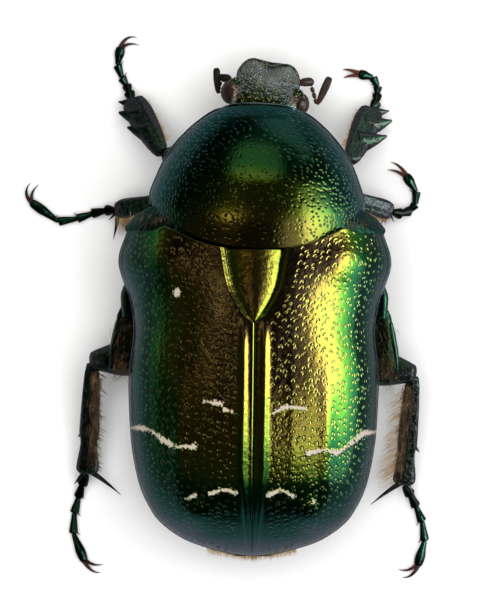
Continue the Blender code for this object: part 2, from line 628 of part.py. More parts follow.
def build_leg(pair, side):
    plan = LEGS[(pair, side)]
    sign = SIDES[side]
    name = pair + "_" + side
    hip = Vector(plan["hip"])
    knee = Vector((*plan["knee"], KNEE_Z))
    ankle = Vector((*plan["ankle"], ANKLE_Z if pair != "fore" else ANKLE_Z - 0.15))
    foot = [Vector((*p, FOOT_Z)) for p in plan["foot"]]
    foot[0].z = (ankle.z + FOOT_Z) / 2
    wide = FEMUR_WIDE[pair]
    cut = bisector(hip, knee, ankle)
    thigh = (knee - hip).normalized()
    reach = HALF_GAP / max(abs(thigh.dot(cut)), 0.3)
    knee_end = knee - thigh * reach
    stations = [(hip.lerp(knee, t), wide * w, wide * h) for t, w, h in
                ((0, 0.5, 0.45), (0.15, 0.75, 0.5), (0.45, 1.0, 0.52), (0.75, 0.9, 0.48), (0.93, 0.6, 0.4))]
    stations.append((knee_end, 0.5, 0.42))
    add_object("femur_" + name, limb(stations, end_cut=cut), BLACK_GREEN, 0.3, 0.7)

    shin = (ankle - knee).normalized()
    reach = HALF_GAP / max(abs(shin.dot(cut)), 0.3)
    knee_start = knee + shin * reach
    foot_cut = bisector(knee, ankle, foot[0])
    ankle_end = ankle - shin * HALF_GAP
    width = TIBIA_WIDE[pair]
    stations = [(knee_start, 0.5, 0.42)]
    stations += [(knee.lerp(ankle, t), width * w, width * h) for t, w, h in
                 ((0.15, 0.62, 0.6), (0.4, 0.72, 0.62), (0.7, 0.9, 0.64), (0.9, 1.0, 0.62))]
    stations.append((ankle_end, width * 0.8, 0.45))
    shaft = limb(stations, start_cut=cut, end_cut=foot_cut)
    pieces = [shaft]
    outward = Vector((shin.y, -shin.x, 0)).normalized()
    outward = outward if (outward.x * sign > 0) == (pair != "mid") else -outward
    if pair == "mid":
        outward = outward if outward.y < 0 else -outward
    teeth = ((0.42, 0.5), (0.68, 0.6), (0.93, 0.55)) if pair == "fore" else ((0.62, 0.42),)
    for share, size in teeth:
        root = knee.lerp(ankle, share)
        tip = root + outward * (width * 0.3 + size) + shin * 0.3
        pieces.append(cone(root, tip, 0.26))
    if pair != "fore":
        for turn in (-1, 1):
            root = knee.lerp(ankle, 0.9) + outward * 0.13 * width * turn
            tip = ankle + outward * (0.3 * width + 0.28) * turn + shin * 0.62
            tip.z = max(tip.z, 0.15)
            pieces.append(cone(root, tip, 0.16))
    add_object("tibia_" + name, combine(pieces), BLACK_GREEN, 0.3, 0.7)
    build_foot(name, ankle, foot, foot_cut, Vector((*plan["claw_to"], 0.1)))


def build_foot(name, ankle, foot, cut, claw_to):
    """Five beads, each wider at its far end, and a pair of curved claws."""
    first = (foot[0] - ankle).normalized()
    joints = [ankle + first * HALF_GAP] + foot
    stations = []
    for start, end in zip(joints, joints[1:]):
        stations.append((start.lerp(end, 0.04), FOOT_RADIUS * 1.75, FOOT_RADIUS * 1.75))
        stations.append((start.lerp(end, 0.72), FOOT_RADIUS * 2.3, FOOT_RADIUS * 2))
    stations.append((joints[-1], FOOT_RADIUS * 1.9, FOOT_RADIUS * 1.8))
    pieces = [limb(stations, start_cut=cut)]
    end = foot[-1]
    ahead = (end - foot[-2]).normalized()
    inner = claw_to - end
    for turn in (-1, 1):
        aside = Vector((-inner.y, inner.x, 0)).normalized() * 0.22 * turn
        root = end - ahead * 0.2 + aside * 0.4
        middle = end + inner * 0.45 + aside + ahead * 0.1
        tip = end + inner.normalized() * min(inner.length, CLAW_LENGTH) + aside * 1.6
        middle.z = 0.24
        tip.z = 0.08
        pieces.append(limb([(root, 0.3, 0.3), (middle, 0.22, 0.24), (tip, 0.06, 0.06)], sides=6))
    add_object("tarsus_" + name, place_on_floor(combine(pieces)), BROWN_BLACK, 0.3, 0.3)


def centre_on_origin():
    """Moves the model so that the middle of its box stands over the origin."""
    things = [o for o in bpy.context.scene.objects if o.type == "MESH"]
    corners = [v.co for thing in things for v in thing.data.vertices]
    middle = Vector([(max(c[i] for c in corners) + min(c[i] for c in corners)) / 2 for i in range(3)])
    middle.z = min(c.z for c in corners)
    for thing in things:
        thing.data.transform(Matrix.Translation(-middle))


def main():
    for thing in list(bpy.data.objects):
        bpy.data.objects.remove(thing)
    build_head()
    build_mouthparts()
    build_antennae()
    build_pronotum()
    build_prosternum()
    build_mesepimera()
    build_scutellum()
    build_elytra()
    build_metathorax()
    build_abdomen()
    build_coxae()
    for pair, side in LEGS:
        build_leg(pair, side)
    centre_on_origin()


main()
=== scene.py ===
"""Dresses the rose chafer: punctured metallic shields, legs, hairs, light and camera.

Body sizes are in millimetres, in the beetle's own frame: the midline is x = 0, the head
points to -Y, the beetle's left is +X and the floor is z = 0. They become metres of the
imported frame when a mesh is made.
"""
import math

import bmesh
import bpy
import numpy as np
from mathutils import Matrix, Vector


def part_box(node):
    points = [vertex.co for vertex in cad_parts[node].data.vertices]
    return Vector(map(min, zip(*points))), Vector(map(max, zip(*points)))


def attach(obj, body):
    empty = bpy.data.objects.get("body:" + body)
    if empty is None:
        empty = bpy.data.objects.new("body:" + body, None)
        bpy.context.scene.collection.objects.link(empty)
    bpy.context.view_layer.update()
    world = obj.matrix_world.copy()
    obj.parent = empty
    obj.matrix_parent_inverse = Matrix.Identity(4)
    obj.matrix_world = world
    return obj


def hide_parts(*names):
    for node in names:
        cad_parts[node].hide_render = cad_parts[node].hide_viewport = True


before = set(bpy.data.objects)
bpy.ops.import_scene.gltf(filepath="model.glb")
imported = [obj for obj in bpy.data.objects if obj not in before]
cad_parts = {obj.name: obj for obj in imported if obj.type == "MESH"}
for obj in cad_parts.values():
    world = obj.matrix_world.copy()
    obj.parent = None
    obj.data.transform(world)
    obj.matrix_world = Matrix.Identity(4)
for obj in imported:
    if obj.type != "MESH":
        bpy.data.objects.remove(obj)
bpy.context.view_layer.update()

MM = 0.001
ELYTRA_END_Y = 9.84
PRONOTUM_FRONT_Y = -8.28
PRONOTUM_REAR_Y = -2.48
PRONOTUM_YAW = math.radians(-2)
HEAD_YAW = math.radians(-10)
HEAD_PIVOT = np.array((-0.3, PRONOTUM_FRONT_Y, 0.0))
PRONOTUM_PIVOT = np.array((0.0, PRONOTUM_REAR_Y, 0.0))
SIDES = {"left": 1, "right": -1}

MIDLINE = (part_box("elytron_left")[0][0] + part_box("elytron_right")[1][0]) / 2
APEX = max(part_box("elytron_left")[1][1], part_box("elytron_right")[1][1])
ORIGIN = np.array((MIDLINE, APEX - ELYTRA_END_Y * MM, 0.0))

# The photograph: its size, its scale and where it shows the beetle's midline
PHOTO_WIDTH = 484
PHOTO_HEIGHT = 612
MM_PER_PIXEL = 0.04
PHOTO_Y_ZERO = 310
PHOTO_AXIS = 253.5
PHOTO_AXIS_ROW = 400
PHOTO_TILT = 0.01
# The camera: metres above the level at which the beetle's outline lies, and its sensor
CAMERA_AWAY = 0.4
OUTLINE_Z = 4.5
SENSOR_WIDTH = 36


def photo_point(px, py):
    """The place on the beetle, in plan, of a pixel of the photograph."""
    axis = PHOTO_AXIS + (PHOTO_AXIS_ROW - py) * PHOTO_TILT
    return (axis - px) * MM_PER_PIXEL, (py - PHOTO_Y_ZERO) * MM_PER_PIXEL


def to_world(points):
    return np.asarray(points) * MM + ORIGIN


# Curves and patterns

def curve_through(stations):
    """A smooth curve through (position, value) pairs that never overshoots them."""
    xs, ys = np.array(stations, float).T
    steps = np.diff(xs)
    rises = np.diff(ys) / steps
    slopes = np.zeros(len(xs))
    slopes[0], slopes[-1] = rises[0], rises[-1]
    before, after = rises[:-1], rises[1:]
    agree = before * after > 0
    slopes[1:-1][agree] = 2 * before[agree] * after[agree] / (before[agree] + after[agree])

    def value(x):
        x = np.clip(x, xs[0], xs[-1])
        i = np.clip(np.searchsorted(xs, x, side="right") - 1, 0, len(steps) - 1)
        h = steps[i]
        t = (x - xs[i]) / h
        start = ys[i] * (1 + 2 * t) * (1 - t) ** 2 + h * slopes[i] * t * (1 - t) ** 2
        end = ys[i + 1] * t * t * (3 - 2 * t) + h * slopes[i + 1] * t * t * (t - 1)
        return start + end

    return value


def columns_through(places, table, at):
    """Each column of a table as a smooth curve through its values, read at other places."""
    curves = [curve_through(np.stack([places, column], -1)) for column in np.transpose(table)]
    return np.stack([curve(at) for curve in curves], -1)


def bump(distance, width):
    return np.exp(-((distance / width) ** 2))


def ramp(x, low, high):
    t = np.clip((x - low) / (high - low), 0, 1)
    return t * t * (3 - 2 * t)


def squarish(value, power):
    """Turns a circle's sine or cosine into that of a superellipse."""
    return np.sign(value) * np.abs(value) ** (2 / power)


def unit(vectors):
    return vectors / np.maximum(np.linalg.norm(vectors, axis=-1, keepdims=True), 1e-9)


def on_side(stations, sign):
    """The same stations on the left, or mirrored to the right."""
    return [(sign * x, *rest) for x, *rest in stations]


def between(start, end, rows):
    """Stations along a straight line, from rows of share, half width and half height."""
    return [(*(start + (end - start) * share), wide, high) for share, wide, high in rows]


def turned(points, pivot, angle):
    c, s = math.cos(angle), math.sin(angle)
    rel = np.asarray(points, float) - pivot
    out = rel.copy()
    out[..., 0] = c * rel[..., 0] - s * rel[..., 1]
    out[..., 1] = s * rel[..., 0] + c * rel[..., 1]
    return out + pivot


def on_pronotum(points):
    return turned(points, PRONOTUM_PIVOT, PRONOTUM_YAW)


def on_head(points):
    return turned(np.asarray(points, float) + (HEAD_PIVOT[0], 0, 0), HEAD_PIVOT, HEAD_YAW)


# Meshes

def new_object(name, data):
    made = bpy.data.objects.new(name, data)
    bpy.context.scene.collection.objects.link(made)
    return made


def dress(piece, nodes):
    """Lets a piece ride on the body and stand for CAD nodes."""
    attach(piece, "root")
    if nodes:
        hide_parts(*nodes)
    return piece


def add_piece(name, points, faces, material, nodes, attributes=None):
    """Makes a smooth mesh piece; attributes are values that its material reads."""
    mesh = bpy.data.meshes.new(name)
    mesh.from_pydata(to_world(points).reshape(-1, 3), [], faces)
    mesh.validate()
    mesh.shade_smooth()
    for key, values in (attributes or {}).items():
        layer = mesh.attributes.new(key, "FLOAT", "POINT")
        layer.data.foreach_set("value", np.asarray(values, np.float32).ravel())
    mesh.materials.append(material)
    return dress(new_object(name, mesh), nodes)


def grid_faces(rows, columns, flip=False, closed=False):
    across = columns if closed else columns - 1
    i, j = np.meshgrid(np.arange(rows - 1), np.arange(across), indexing="ij")
    k = (j + 1) % columns
    here, below = i * columns, (i + 1) * columns
    quads = np.stack([here + j, here + k, below + k, below + j], -1).reshape(-1, 4)
    return quads[:, ::-1] if flip else quads


def grid_normals(grid):
    """Unit normals of a grid of points, turned upward on the whole."""
    normals = unit(np.cross(np.gradient(grid, axis=0), np.gradient(grid, axis=1)))
    return normals if normals[..., 2].mean() > 0 else -normals


def hemmed(grid, before, after, axis):
    """A grid with hems: copies of its first and last lines, moved by these steps."""
    first = np.take(grid, [0], axis)
    last = np.take(grid, [-1], axis)
    lines = [first + step for step in before] + [grid] + [last + step for step in after]
    return np.concatenate(lines, axis=axis)


def mirrored(steps):
    """The steps of the hem on the other side."""
    return [(-x, y, z) for x, y, z in reversed(steps)]


def arc_lengths(grid, axis):
    steps = np.linalg.norm(np.diff(grid, axis=axis), axis=-1)
    lengths = np.cumsum(steps, axis=axis)
    pad = [(0, 0), (0, 0)]
    pad[axis] = (1, 0)
    return np.pad(lengths, pad)


# The wing cases and the neck shield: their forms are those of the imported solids

# Share of a plate, from its front, over which its front edge follows a line of its own
BASE_REACH = 0.2
# The inner margin never takes more than this share of the half width
INNER_LIMIT = 0.8
# How quickly the relief grows from nothing at the outer edge
RELIEF_GROWTH = 3


def domed_plate(rows, columns, middle_y, edge, top_z, edge_z, bend, power, inner_x=None, base=None,
                relief=None):
    """A plate ruled by rows; v runs back along it and u from its inner margin to its edge."""
    v, u = np.meshgrid(rows, columns, indexing="ij")
    edge = np.array(edge)
    half, edge_y = np.moveaxis(columns_through(edge[:, 0], edge[:, 1:], v), -1, 0)
    middle = curve_through(middle_y)(v)
    inner = np.minimum(inner_x(middle), half * INNER_LIMIT) if inner_x else 0
    first = np.arcsin((inner / half) ** (power / 2))
    angle = first + (math.pi / 2 - first) * np.abs(u)
    share = np.sin(angle) ** (2 / power)
    lift = np.maximum(np.cos(angle), 0) ** (2 / power)
    y = middle + (edge_y - middle) * share ** bend
    if base:
        front_y = middle_y[0][1]
        front, corner_x, corner_y = edge[0]
        plain = front_y + (corner_y - front_y) * share ** bend
        y = y + (base(corner_x * share) - plain) * np.clip(1 - v / BASE_REACH, 0, 1) ** 1.5
    x = half * share
    z = edge_z(v) + (top_z(v) - edge_z(v)) * lift
    if relief:
        z = z + relief(x, y) * np.minimum(1, RELIEF_GROWTH * lift)
    return np.stack([np.where(u < 0, -x, x), y, z], -1)


elytra_top = curve_through([(-3.1, 8.05), (-2.2, 8.22), (-1, 8.42), (1, 8.55), (3, 8.57), (5, 8.43),
                            (6.6, 8.1), (7.6, 7.62), (8.4, 6.98), (9.0, 6.3), (9.4, 5.65), (9.7, 4.95),
                            (ELYTRA_END_Y, 4.4)])
elytra_edge = curve_through([(-3.1, 4.95), (0, 4.65), (4, 4.45), (8, 4.3), (ELYTRA_END_Y, 4.2)])
scutellum_side = curve_through([(-2.5, 1.2), (-1.0, 0.9), (0.0, 0.36), (0.5, 0.02)])

# Heights of the relief of a wing case; depths are those of its grooves and slopes
CREST_HEIGHT = 0.105
RIB_HEIGHT = 0.1
INNER_RIB_HEIGHT = 0.015
SHOULDER_HEIGHT = 0.22
CALLUS_HEIGHT = 0.22
VALLEY_DEPTH = 0.035
SCUTELLUM_STEP = 0.14
SHOULDER_SLOPE = 0.16


def elytron_relief(x, y):
    """Crests beside the suture and along the disc, shallow grooves, and a callus at each end."""
    behind = np.clip((y - 0.2) / 1.2, 0, 1)
    closing = np.clip((y - 6.3) / 3.3, 0, 1)
    crest_x = 0.42 - 0.27 * closing
    crest = CREST_HEIGHT * bump(x - crest_x, 0.15 - 0.05 * closing) * behind
    valley = -VALLEY_DEPTH * bump(x - 1.35, 0.7) * behind * bump(y - 3.5, 4.0)
    rib = RIB_HEIGHT * bump(x - 2.95, 0.3) * bump(y - 5.3, 2.4)
    inner_rib = INNER_RIB_HEIGHT * bump(x - 1.55, 0.22) * bump(y - 4.0, 3.5)
    aside = 1 - ramp(x - scutellum_side(y), 0.0, 0.24)
    beside_scutellum = -SCUTELLUM_STEP * aside * np.clip(1.5 - y * 3, 0, 1)
    shoulder = SHOULDER_HEIGHT * bump(np.hypot(x - 3.7, y + 2.0), 0.9)
    callus = CALLUS_HEIGHT * bump(np.hypot(x - 2.35, y - 8.2), 0.6)
    outside = (np.hypot(x - 1.9, 0.9) + x - 1.9) / 2
    outward = -SHOULDER_SLOPE * outside * ramp(-y, -2.0, 1.2)
    return crest + valley + rib + inner_rib + beside_scutellum + shoulder + callus + outward


def elytron_grid():
    middle_y = [(0, -2.3), (0.1, -1.25), (0.22, 0.25), (0.3, 1.1), (0.45, 3.0), (0.58, 4.9),
                (0.72, 6.75), (0.84, 8.25), (0.92, 9.15), (0.97, 9.62), (1, ELYTRA_END_Y)]
    edge = [(0, 5.1, -3.08), (0.1, 5.43, -1.92), (0.22, 4.93, -0.2), (0.3, 4.8, 0.8), (0.45, 4.98, 2.8),
            (0.58, 4.9, 4.8), (0.72, 4.6, 6.7), (0.84, 3.96, 8.16), (0.92, 2.82, 9.12),
            (0.97, 1.46, 9.6), (1, 0.55, 9.79)]
    base = curve_through([(0, -2.42), (1.4, -2.5), (2.4, -2.76), (3.2, -3.12), (3.6, -3.28), (4.2, -3.1),
                          (5.1, -3.1)])
    middle = curve_through(middle_y)
    rows = np.interp(np.linspace(0, 1, ELYTRON_ROWS), [0, 0.86, 1], [0, 0.9, 1])
    return domed_plate(rows, np.linspace(0, 1, ELYTRON_COLUMNS), middle_y, edge,
                       lambda v: elytra_top(middle(v)), lambda v: elytra_edge(middle(v)),
                       bend=1.6, power=2.45, inner_x=scutellum_side, base=base, relief=elytron_relief)


def pronotum_grid():
    middle_y = [(0, PRONOTUM_FRONT_Y), (0.12, -7.6), (0.35, -6.3), (0.6, -4.9), (0.85, -3.4),
                (1, PRONOTUM_REAR_Y)]
    edge = [(0, 1.5, -8.08), (0.08, 2.1, -7.74), (0.25, 2.95, -7.0), (0.45, 3.6, -6.16), (0.65, 4.04, -5.2),
            (0.85, 4.28, -4.42), (1, 4.24, -4.06)]
    top = curve_through([(0, 5.75), (0.12, 6.45), (0.35, 7.3), (0.6, 7.9), (0.85, 8.15), (1, 8.1)])
    edge_z = curve_through([(0, 5.35), (0.25, 4.85), (0.6, 4.65), (0.85, 4.75), (1, 4.85)])
    return domed_plate(np.linspace(0, 1, PRONOTUM_ROWS), np.linspace(-1, 1, PRONOTUM_COLUMNS), middle_y, edge,
                       top, edge_z, bend=2.6, power=2.2)


class Skin:
    """A grid with pits to be pressed into it, placed by lengths along the surface itself."""

    def __init__(self, grid):
        self.across = arc_lengths(grid, 1)
        self.along = arc_lengths(grid, 0)
        self.width = self.across[:, -1:]
        self.depth = np.zeros(self.across.shape)

    def press(self, row, column, reach, shape):
        """Presses a small pattern round one point; reach is how far it spreads."""
        rows, columns = self.depth.shape
        above, under = max(row - 1, 0), min(row + 1, rows - 1)
        before, after = max(column - 1, 0), min(column + 1, columns - 1)
        row_step = abs(self.along[under, column] - self.along[above, column]) / 2 + 1e-4
        column_step = abs(self.across[row, after] - self.across[row, before]) / 2 + 1e-4
        di, dj = int(reach / row_step) + 1, int(reach / column_step) + 1
        window = np.s_[max(row - di, 0):row + di + 1, max(column - dj, 0):column + dj + 1]
        da = self.across[window] - self.across[row, column]
        db = self.along[window] - self.along[row, column]
        self.depth[window] = np.minimum(self.depth[window], shape(da, db))


def horseshoe(radius, groove, deep, turn):
    """A puncture of the wing cases: a curved groove, open to the rear and turned a little."""
    def shape(da, db):
        r = np.hypot(da, db) + 1e-6
        front = ramp(-(db * math.cos(turn) + da * math.sin(turn)) / r, -0.75, 0.1)
        return -deep * (bump(r - radius, groove) * front)
    return shape


def dimple(radius, deep):
    def shape(da, db):
        return -deep * bump(np.hypot(da, db), radius)
    return shape


# A wing case: its grid, and the column along which the rows of pits are measured
ELYTRON_ROWS = 560
ELYTRON_COLUMNS = 340
PLACING_COLUMN = 80
# Its pits: how far apart and deep they are, and the crest and margins that they keep off
PIT_ROWS_APART = 0.29
PITS_APART = 0.31
PIT_STAGGER = 0.13
PIT_DEPTH = 0.02
SMALL_PIT_DEPTH = 0.014
CREST_BARE_X = 0.62
CREST_BARE_Y = 0.3
EDGE_BARE = 0.12
EDGE_OF_SMALL_PITS = 0.8
# The steps of its hems in front, beside the suture and under the outer edge
ELYTRON_FRONT = ((0, -0.02, -1.4), (0, -0.02, -0.4), (0, -0.01, -0.06))
ELYTRON_SUTURE = ((-0.05, 0, -0.35), (-0.01, 0, -0.05))
ELYTRON_FOLD = ((-0.03, 0, -0.05), (-0.14, 0, -0.09), (-0.5, 0, -0.06))
ELYTRON_HEM = ((len(ELYTRON_FRONT), 0), (len(ELYTRON_SUTURE), len(ELYTRON_FOLD)))
# Heights of the bead along its outer edge and of a pale mark
ELYTRON_BEAD = 0.03
MARK_HEIGHT = 0.018


def press_elytron_pits(skin, grid, draw):
    """Horseshoe pits over the disc and plain dimples near the outer edge, none on the crest."""
    down_disc = skin.along[:, PLACING_COLUMN]
    for row_at in np.arange(0.15, skin.along[:, 0].max(), PIT_ROWS_APART):
        for line, offset in enumerate(np.arange(0.75, skin.width.max(), PITS_APART)):
            b = row_at + draw.normal(0, 0.07) + (PIT_STAGGER if line % 2 else 0)
            a = offset + draw.normal(0, 0.055)
            row = int(np.searchsorted(down_disc, b))
            if row >= ELYTRON_ROWS - 2 or a > skin.width[row, 0] - EDGE_BARE:
                continue
            column = int(np.searchsorted(skin.across[row], a))
            x, y, z = grid[row, column]
            if x < CREST_BARE_X and y > CREST_BARE_Y:
                continue
            side_on = skin.width[row, 0] - a
            size = draw.uniform(0.55, 1.15) * (0.055 if side_on < 1.3 else 0.074)
            if side_on < EDGE_OF_SMALL_PITS:
                skin.press(row, column, 0.1, dimple(size * 0.6, SMALL_PIT_DEPTH))
            else:
                skin.press(row, column, 0.2, horseshoe(size, 0.018, PIT_DEPTH, draw.normal(0, 0.4)))


def build_elytra(material):
    for seed, (side, sign) in enumerate(SIDES.items(), 11):
        draw = np.random.default_rng(seed)
        grid = elytron_grid()
        skin = Skin(grid)
        press_elytron_pits(skin, grid, draw)
        rim = skin.width - skin.across
        pits = skin.depth * (ramp(skin.across, 0.05, 0.3) * ramp(rim, 0.02, 0.2))
        bead = ELYTRON_BEAD * bump(rim - 0.05, 0.04) - ELYTRON_BEAD * bump(rim - 0.14, 0.04)
        grid = grid + grid_normals(grid) * (pits + bead)[..., None]
        mark = white_marks(grid, side, draw)
        grid = grid + grid_normals(grid) * (MARK_HEIGHT * mark)[..., None]
        grid = hemmed(grid, ELYTRON_SUTURE, ELYTRON_FOLD, 1)
        grid = hemmed(grid, ELYTRON_FRONT, (), 0)
        grid[..., 0] *= sign
        # rim and pit choose the painted edge and glint colours of the material; mark is the pale marks
        looks = {"mark": np.pad(mark, ELYTRON_HEM),
                 "rim": np.pad(bump(rim - 0.03, 0.07), ELYTRON_HEM, mode="edge"),
                 "pit": np.pad(np.clip(-pits / SMALL_PIT_DEPTH, 0, 1), ELYTRON_HEM)}
        add_piece("wing_case_" + side, grid, grid_faces(*grid.shape[:2], flip=sign > 0), material,
                  ["elytron_" + side], looks)


# The pale marks on each wing case, as chains of places in plan, and their half width
WHITE_MARKS = {
    "left": [([(1.94, 3.64), (1.3, 3.72)], 0.09), ([(1.18, 3.96), (0.82, 4.0)], 0.07),
             ([(4.93, 4.76), (4.5, 4.72), (4.05, 4.82), (3.6, 5.2), (3.08, 5.44), (2.32, 5.44)], 0.10),
             ([(1.7, 7.32), (1.22, 7.12), (0.7, 7.24)], 0.08), ([(2.62, 7.52), (2.26, 7.36)], 0.06),
             ([(3.08, -0.64), (3.04, -0.74)], 0.13)],
    "right": [([(0.8, 4.05), (1.1, 3.9), (1.46, 3.8), (1.98, 3.88)], 0.09),
              ([(2.16, 5.64), (2.76, 5.52), (3.4, 5.64), (3.96, 5.2), (4.35, 4.86), (4.9, 4.8)], 0.10),
              ([(0.62, 7.34), (1.1, 7.12), (1.62, 7.36)], 0.09), ([(2.4, 7.54), (2.46, 7.6)], 0.07)],
}


def white_marks(grid, side, draw):
    """How white each point of a wing case is, from the chains of its marks."""
    x, y = grid[..., 0], grid[..., 1]
    mark = np.zeros(x.shape)
    rough = draw.normal(0, 1, (x.shape[0] // 3 + 2, x.shape[1] // 3 + 2))
    rough = np.kron(rough, np.ones((3, 3)))[:x.shape[0], :x.shape[1]]
    for chain, half in WHITE_MARKS[side]:
        for (x0, y0), (x1, y1) in zip(chain, chain[1:]):
            length = (x1 - x0) ** 2 + (y1 - y0) ** 2
            t = np.clip(((x - x0) * (x1 - x0) + (y - y0) * (y1 - y0)) / length, 0, 1)
            away = np.hypot(x - x0 - t * (x1 - x0), y - y0 - t * (y1 - y0))
            uneven = half * (0.72 + 0.3 * np.sin(7 * x + 3 * y0))
            mark = np.maximum(mark, ramp(-away + 0.03 * rough, -uneven - 0.03, -uneven + 0.03))
    return mark


# The neck shield: its grid, and the places and margins of its pits
PRONOTUM_ROWS = 280
PRONOTUM_COLUMNS = 480
SHIELD_PITS_APART = 0.17
SHIELD_PITS_REACH = 5.6
SHIELD_BARE = 0.25
# Depth at which a pit shows its painted glint or shade colour in full
SHIELD_PIT_LOOK = 0.015
# The steps of its hems, and the heights of the beads along its edges
PRONOTUM_FRONT = ((0, 0.3, -0.3), (0, 0.02, -0.08))
PRONOTUM_REAR = ((0, 0.0, -0.08), (0, -0.12, -0.4), (0, -0.5, -0.7))
PRONOTUM_FOLD = ((-0.02, 0, -0.08), (-0.15, 0, -0.24), (-0.5, 0, -0.28))
PRONOTUM_HEM = ((len(PRONOTUM_FRONT), len(PRONOTUM_REAR)), (len(PRONOTUM_FOLD), len(PRONOTUM_FOLD)))
SIDE_BEAD = 0.05
FRONT_BEAD = 0.03


def press_shield_pits(skin, draw):
    """Small pits, closer together and larger toward the sides."""
    middle = skin.width / 2
    down_disc = skin.along[:, PRONOTUM_COLUMNS // 2]
    for b in np.arange(0.12, down_disc.max(), SHIELD_PITS_APART):
        for a in np.arange(-SHIELD_PITS_REACH, SHIELD_PITS_REACH, SHIELD_PITS_APART):
            bb, aa = b + draw.normal(0, 0.05), a + draw.normal(0, 0.05)
            row = int(np.searchsorted(down_disc, bb))
            if row > PRONOTUM_ROWS - 5:
                continue
            spot = middle[row, 0] + aa
            if spot < SHIELD_BARE or spot > skin.width[row, 0] - SHIELD_BARE:
                continue
            column = int(np.searchsorted(skin.across[row], spot))
            sideways = abs(aa) / middle[row, 0]
            if draw.random() > 0.3 + 0.7 * sideways:
                continue
            size = draw.uniform(0.02, 0.032) + 0.022 * sideways
            skin.press(row, column, 0.14, dimple(size, size * 0.55))


def build_pronotum(material):
    grid = pronotum_grid()
    skin = Skin(grid)
    press_shield_pits(skin, np.random.default_rng(5))
    rim = np.minimum(skin.across, skin.width - skin.across)
    bead = SIDE_BEAD * bump(rim - 0.07, 0.06) - SIDE_BEAD * bump(rim - 0.2, 0.05)
    front_bead = FRONT_BEAD * bump(skin.along - 0.06, 0.05) - FRONT_BEAD * bump(skin.along - 0.17, 0.05)
    bead = bead * ramp(skin.along, 0.05, 0.4) + front_bead * ramp(rim, 0.1, 0.5)
    grid = grid + grid_normals(grid) * (skin.depth + bead)[..., None]
    grid = hemmed(grid, mirrored(PRONOTUM_FOLD), PRONOTUM_FOLD, 1)
    grid = hemmed(grid, PRONOTUM_FRONT, PRONOTUM_REAR, 0)
    # The band along the edges takes the painted edge-on colour of steep slopes; pit depth chooses painted
    # glint and shade colours
    edge = np.maximum(bump(rim - 0.05, 0.09), bump(skin.along - 0.05, 0.08))
    looks = {"rim": np.pad(edge, PRONOTUM_HEM, mode="edge"),
             "pit": np.pad(np.clip(-skin.depth / SHIELD_PIT_LOOK, 0, 1), PRONOTUM_HEM)}
    add_piece("neck_shield", on_pronotum(grid), grid_faces(*grid.shape[:2], flip=True), material,
              ["pronotum"], looks)


# Limbs, balls and hooks

class Bundle:
    """Closed forms gathered into one piece."""

    def __init__(self, *grids):
        self.points = []
        self.faces = []
        self.count = 0
        for grid in grids:
            self.tube(grid)

    def tube(self, grid):
        """Takes a grid of rings, joins its ends with fans and keeps it."""
        rows, sides = grid.shape[:2]
        ends = np.stack([grid[0].mean(0), grid[-1].mean(0)])
        ring = np.arange(sides)
        onward = (ring + 1) % sides
        last = (rows - 1) * sides
        first_fan = np.stack([np.full(sides, rows * sides), onward, ring], -1)
        last_fan = np.stack([np.full(sides, rows * sides + 1), ring + last, onward + last], -1)
        self.points.append(np.concatenate([grid.reshape(-1, 3), ends]))
        for block in (grid_faces(rows, sides, closed=True), first_fan, last_fan):
            self.faces += (block + self.count).tolist()
        self.count += rows * sides + 2

    def piece(self, name, material, nodes, slot):
        return add_piece(name, np.concatenate(self.points), self.faces, material, nodes)


def refined(stations, count):
    """Fills in the stations of a limb smoothly, closer together near its ends."""
    stations = np.array(stations, float)
    away = np.r_[0, np.cumsum(np.linalg.norm(np.diff(stations[:, :3], axis=0), axis=1))]
    share = np.linspace(0, 1, count)
    share = 0.4 * share + 0.6 * (0.5 - 0.5 * np.cos(math.pi * share))
    at = share * away[-1]
    return at, columns_through(away, stations, at)


def limb(stations, count=50, sides=24, ends=(0.1, 0.1), power=2.0):
    """Rings round a smooth line; each station is x, y, z, half width and half height."""
    at, line = refined(stations, count)
    centres, wide, high = line[:, :3], line[:, 3], line[:, 4]
    forward = unit(np.gradient(centres, axis=0))
    across = unit(np.cross(forward, (0, 0, 1)))
    above = np.cross(across, forward)
    ending = np.clip(1 - np.stack([at / ends[0], (at[-1] - at) / ends[1]]), 0, 1)
    close = np.sqrt(np.clip(1 - ending ** 2, 0.0025, 1)).prod(0)
    angle = np.linspace(0, 2 * math.pi, sides, endpoint=False)
    c, s = squarish(np.cos(angle), power), squarish(np.sin(angle), power)
    sideways = across[:, None] * (wide * close)[:, None, None] * c[None, :, None]
    upward = above[:, None] * (high * close)[:, None, None] * s[None, :, None]
    return centres[:, None] + sideways + upward


def spike(root, middle, tip, width, height, count=16, sides=10, sharp=0.08):
    """A tooth, spur or claw, bent at its middle and thinning to its tip."""
    root, middle, tip = (np.array(p, float) for p in (root, middle, tip))
    stations = []
    for t in np.linspace(0, 1, 7):
        centre = (1 - t) ** 2 * root + 2 * t * (1 - t) * middle + t * t * tip
        thin = max((1 - t) ** 0.8, sharp)
        stations.append((*centre, width * thin, height * thin))
    return limb(stations, count, sides, ends=(0.02, 0.02))


def ellipsoid(centre, radii, rows=40, sides=48):
    tilt = np.linspace(-math.pi / 2, math.pi / 2, rows)[1:-1, None]
    turn = np.linspace(0, 2 * math.pi, sides, endpoint=False)
    ball = (np.cos(tilt) * np.cos(turn), np.cos(tilt) * np.sin(turn), np.sin(tilt) * np.ones(sides))
    return np.stack(ball, -1) * np.array(radii) + np.array(centre)


def outward_normals(grid):
    """Unit normals of closed rings, pointing away from the middle of each ring."""
    over = np.roll(grid, -1, axis=1) - np.roll(grid, 1, axis=1)
    normals = unit(np.cross(np.gradient(grid, axis=0), over))
    away = grid - grid.mean(axis=1, keepdims=True)
    return np.where((normals * away).sum(-1, keepdims=True) < 0, -normals, normals)


